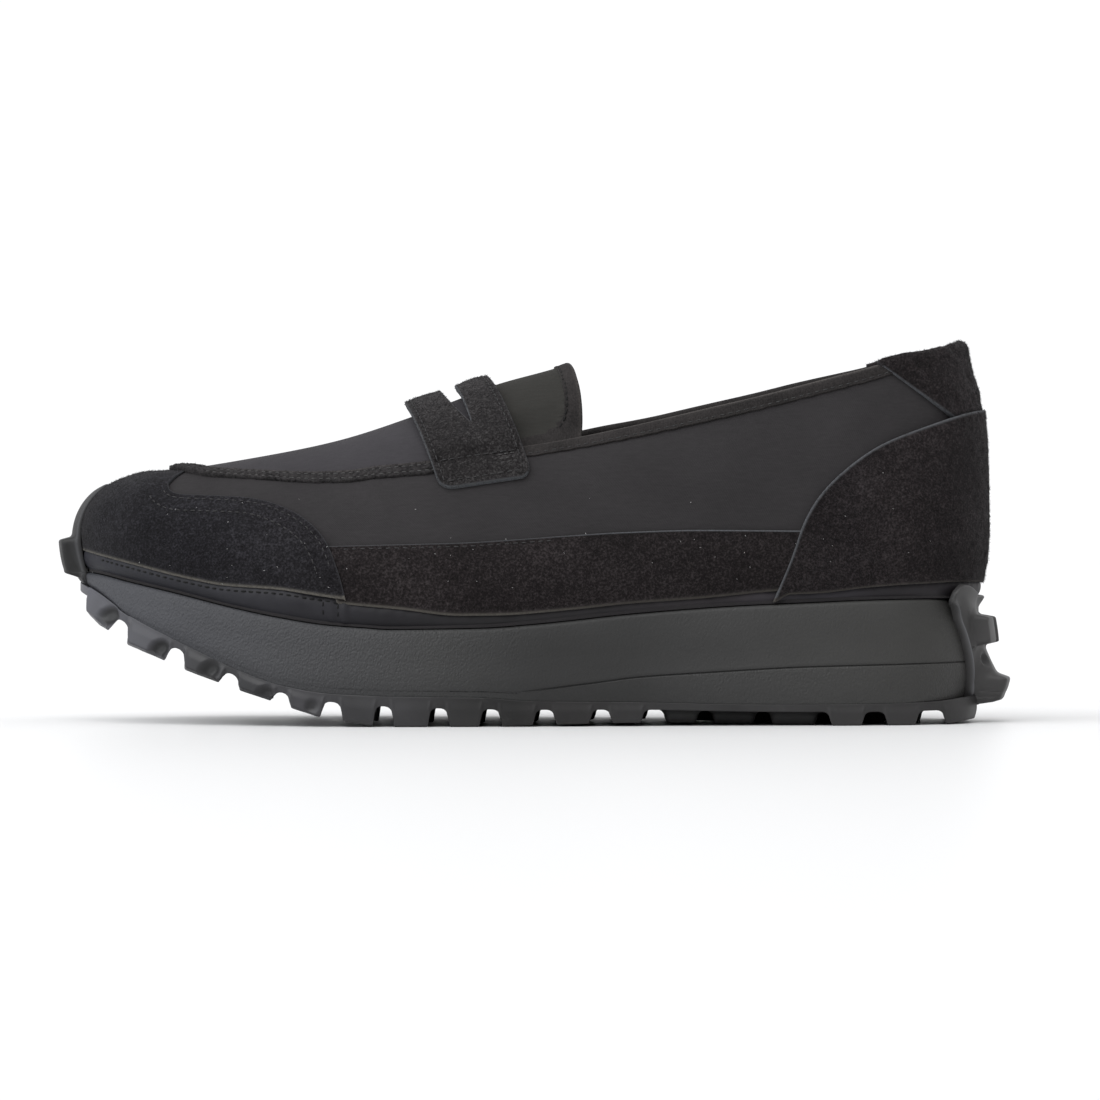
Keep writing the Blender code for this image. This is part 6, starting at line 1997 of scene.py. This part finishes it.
settle(nap("suede_nap_heel", [counter, tab], FIBRE, 3.4, 0.8, 0.05), "counter_suede")
settle(nap("tape_nap", [tape], FIBRE, 3.0, 0.5, 0.05), "nylon")
settle(nap("suede_nap_strap", [strap], FIBRE, 3.0, 0.6, 0.05), "strap_suede")


def build_lint():
    """A few pale specks of lint caught on the cloth and suede."""
    pts, faces, count = [], [], 0
    x = RNG.uniform(-118, 118, 400)
    z = RNG.uniform(36, 96, 400)
    spots = []
    for side in (-1, 1):
        ok = (z < collar_z(x) - 6) & (z > 40)
        th, t = locate(x[ok], z[ok], side)
        phi = th if side < 0 else 2 * PI - th
        top = seam(phi)
        keep = (t > 0.05) & (t < top - 0.05)
        spots.append((phi[keep], t[keep]))
        x, z = x[::-1] * 0.97 + 1.0, np.roll(z, 17)
    for phi, t in spots:
        n = last_normal(phi, t)
        p = last(phi, t)
        up, _ = rise(phi, t)
        on_suede = (p[:, 2] < strip_high(p[:, 0])) | (p[:, 0] < -66) & (p[:, 2] < 66) | (p[:, 2] < counter_edge(p[:, 0])) & (p[:, 0] > 72)
        pick = RNG.random(len(phi)) < np.where(on_suede, 0.40, 0.07)
        for q, nn, uu, suede in zip(p[pick], n[pick], up[pick], on_suede[pick]):
            a = RNG.uniform(0, PI)
            side_dir = np.cross(uu, nn)
            go = math.cos(a) * uu + math.sin(a) * side_dir
            across = np.cross(nn, go)
            long, w = RNG.uniform(0.10, 0.34), RNG.uniform(0.05, 0.09)
            c = q + nn * (2.35 if suede else 0.10)
            c = c + nn * (-0.25 if suede and q[0] > -60 and q[0] < 72 else 0.0)
            ring = [c - go * long, c + across * w, c - across * w, c + go * long, c + nn * w * 1.4, c - nn * w]
            pts += ring
            faces += [[count + i for i in f] for f in ((0, 1, 4), (1, 3, 4), (3, 2, 4), (2, 0, 4), (1, 0, 5), (3, 1, 5), (2, 3, 5), (0, 2, 5))]
            count += 6
    return make("lint_specks", np.array(pts), [np.array(faces)], [LINT], recalc=True, sharp=0)


settle(build_lint(), "nylon")

# ---------------------------------------------------------------- stage
floor_me = bpy.data.meshes.new("floor")
floor_me.from_pydata([(-30, -30, 0), (30, -30, 0), (30, 30, 0), (-30, 30, 0)], [], [(0, 1, 2, 3)])
floor = bpy.data.objects.new("floor", floor_me)
bpy.context.scene.collection.objects.link(floor)
pale = Look("pale floor", Base_Color=(0.70, 0.70, 0.70, 1.0), Roughness=0.42, Specular_IOR_Level=0.30)
floor_me.materials.append(pale.m)

# radiance of the studio by direction: low behind the camera, white behind the shoe
SKY = ((0.22, 0.26), (0.50, 0.52), (0.68, 1.045), (0.82, 1.045), (0.97, 0.80))
world = bpy.data.worlds.new("studio")
bpy.context.scene.world = world
world.use_nodes = True
wn = world.node_tree
back = wn.nodes["Background"]
coord = wn.nodes.new("ShaderNodeTexCoord")
lean = wn.nodes.new("ShaderNodeVectorMath")
lean.operation = "DOT_PRODUCT"
lean.inputs[1].default_value = (-0.10, 0.50, 0.86)
wn.links.new(coord.outputs["Generated"], lean.inputs[0])
reach = wn.nodes.new("ShaderNodeMapRange")
reach.inputs[1].default_value = -1.0
wn.links.new(lean.outputs["Value"], reach.inputs[0])
tone = wn.nodes.new("ShaderNodeValToRGB")
for _ in range(3):
    tone.color_ramp.elements.new(0.5)
for item, (at, level) in zip(tone.color_ramp.elements, SKY):
    item.position = at
    item.color = (level, level, level * 1.01, 1)
wn.links.new(reach.outputs[0], tone.inputs[0])
wn.links.new(tone.outputs[0], back.inputs[0])
back.inputs[1].default_value = 1.0


def soft_sun(name, source, angle, power, colour):
    """Broad even light, the same over the whole floor."""
    data = bpy.data.lights.new(name, "SUN")
    data.angle = math.radians(angle)
    data.energy = power
    data.color = colour
    ob = bpy.data.objects.new(name, data)
    ob.rotation_euler = (-Vector(source)).to_track_quat("-Z", "Y").to_euler()
    bpy.context.scene.collection.objects.link(ob)


soft_sun("overhead", (-0.28, -0.62, 1.0), 60.0, 2.05, (0.99, 0.995, 1.0))
soft_sun("key", (-1.0, -0.42, 0.42), 50.0, 1.15, (0.93, 0.97, 1.0))

cam_data = bpy.data.cameras.new("camera")
cam_data.sensor_width = 36.0
cam_data.lens = 36.0 * 1.5 / 0.33
cam_data.clip_end = 100.0
cam = bpy.data.objects.new("camera", cam_data)
cam.location = (0.0053, -1.5, 0.0514)
cam.rotation_euler = (PI / 2, 0, 0)
bpy.context.scene.collection.objects.link(cam)
bpy.context.scene.camera = cam
bpy.context.scene.view_settings.view_transform = "Standard"
bpy.context.scene.view_settings.look = "None"
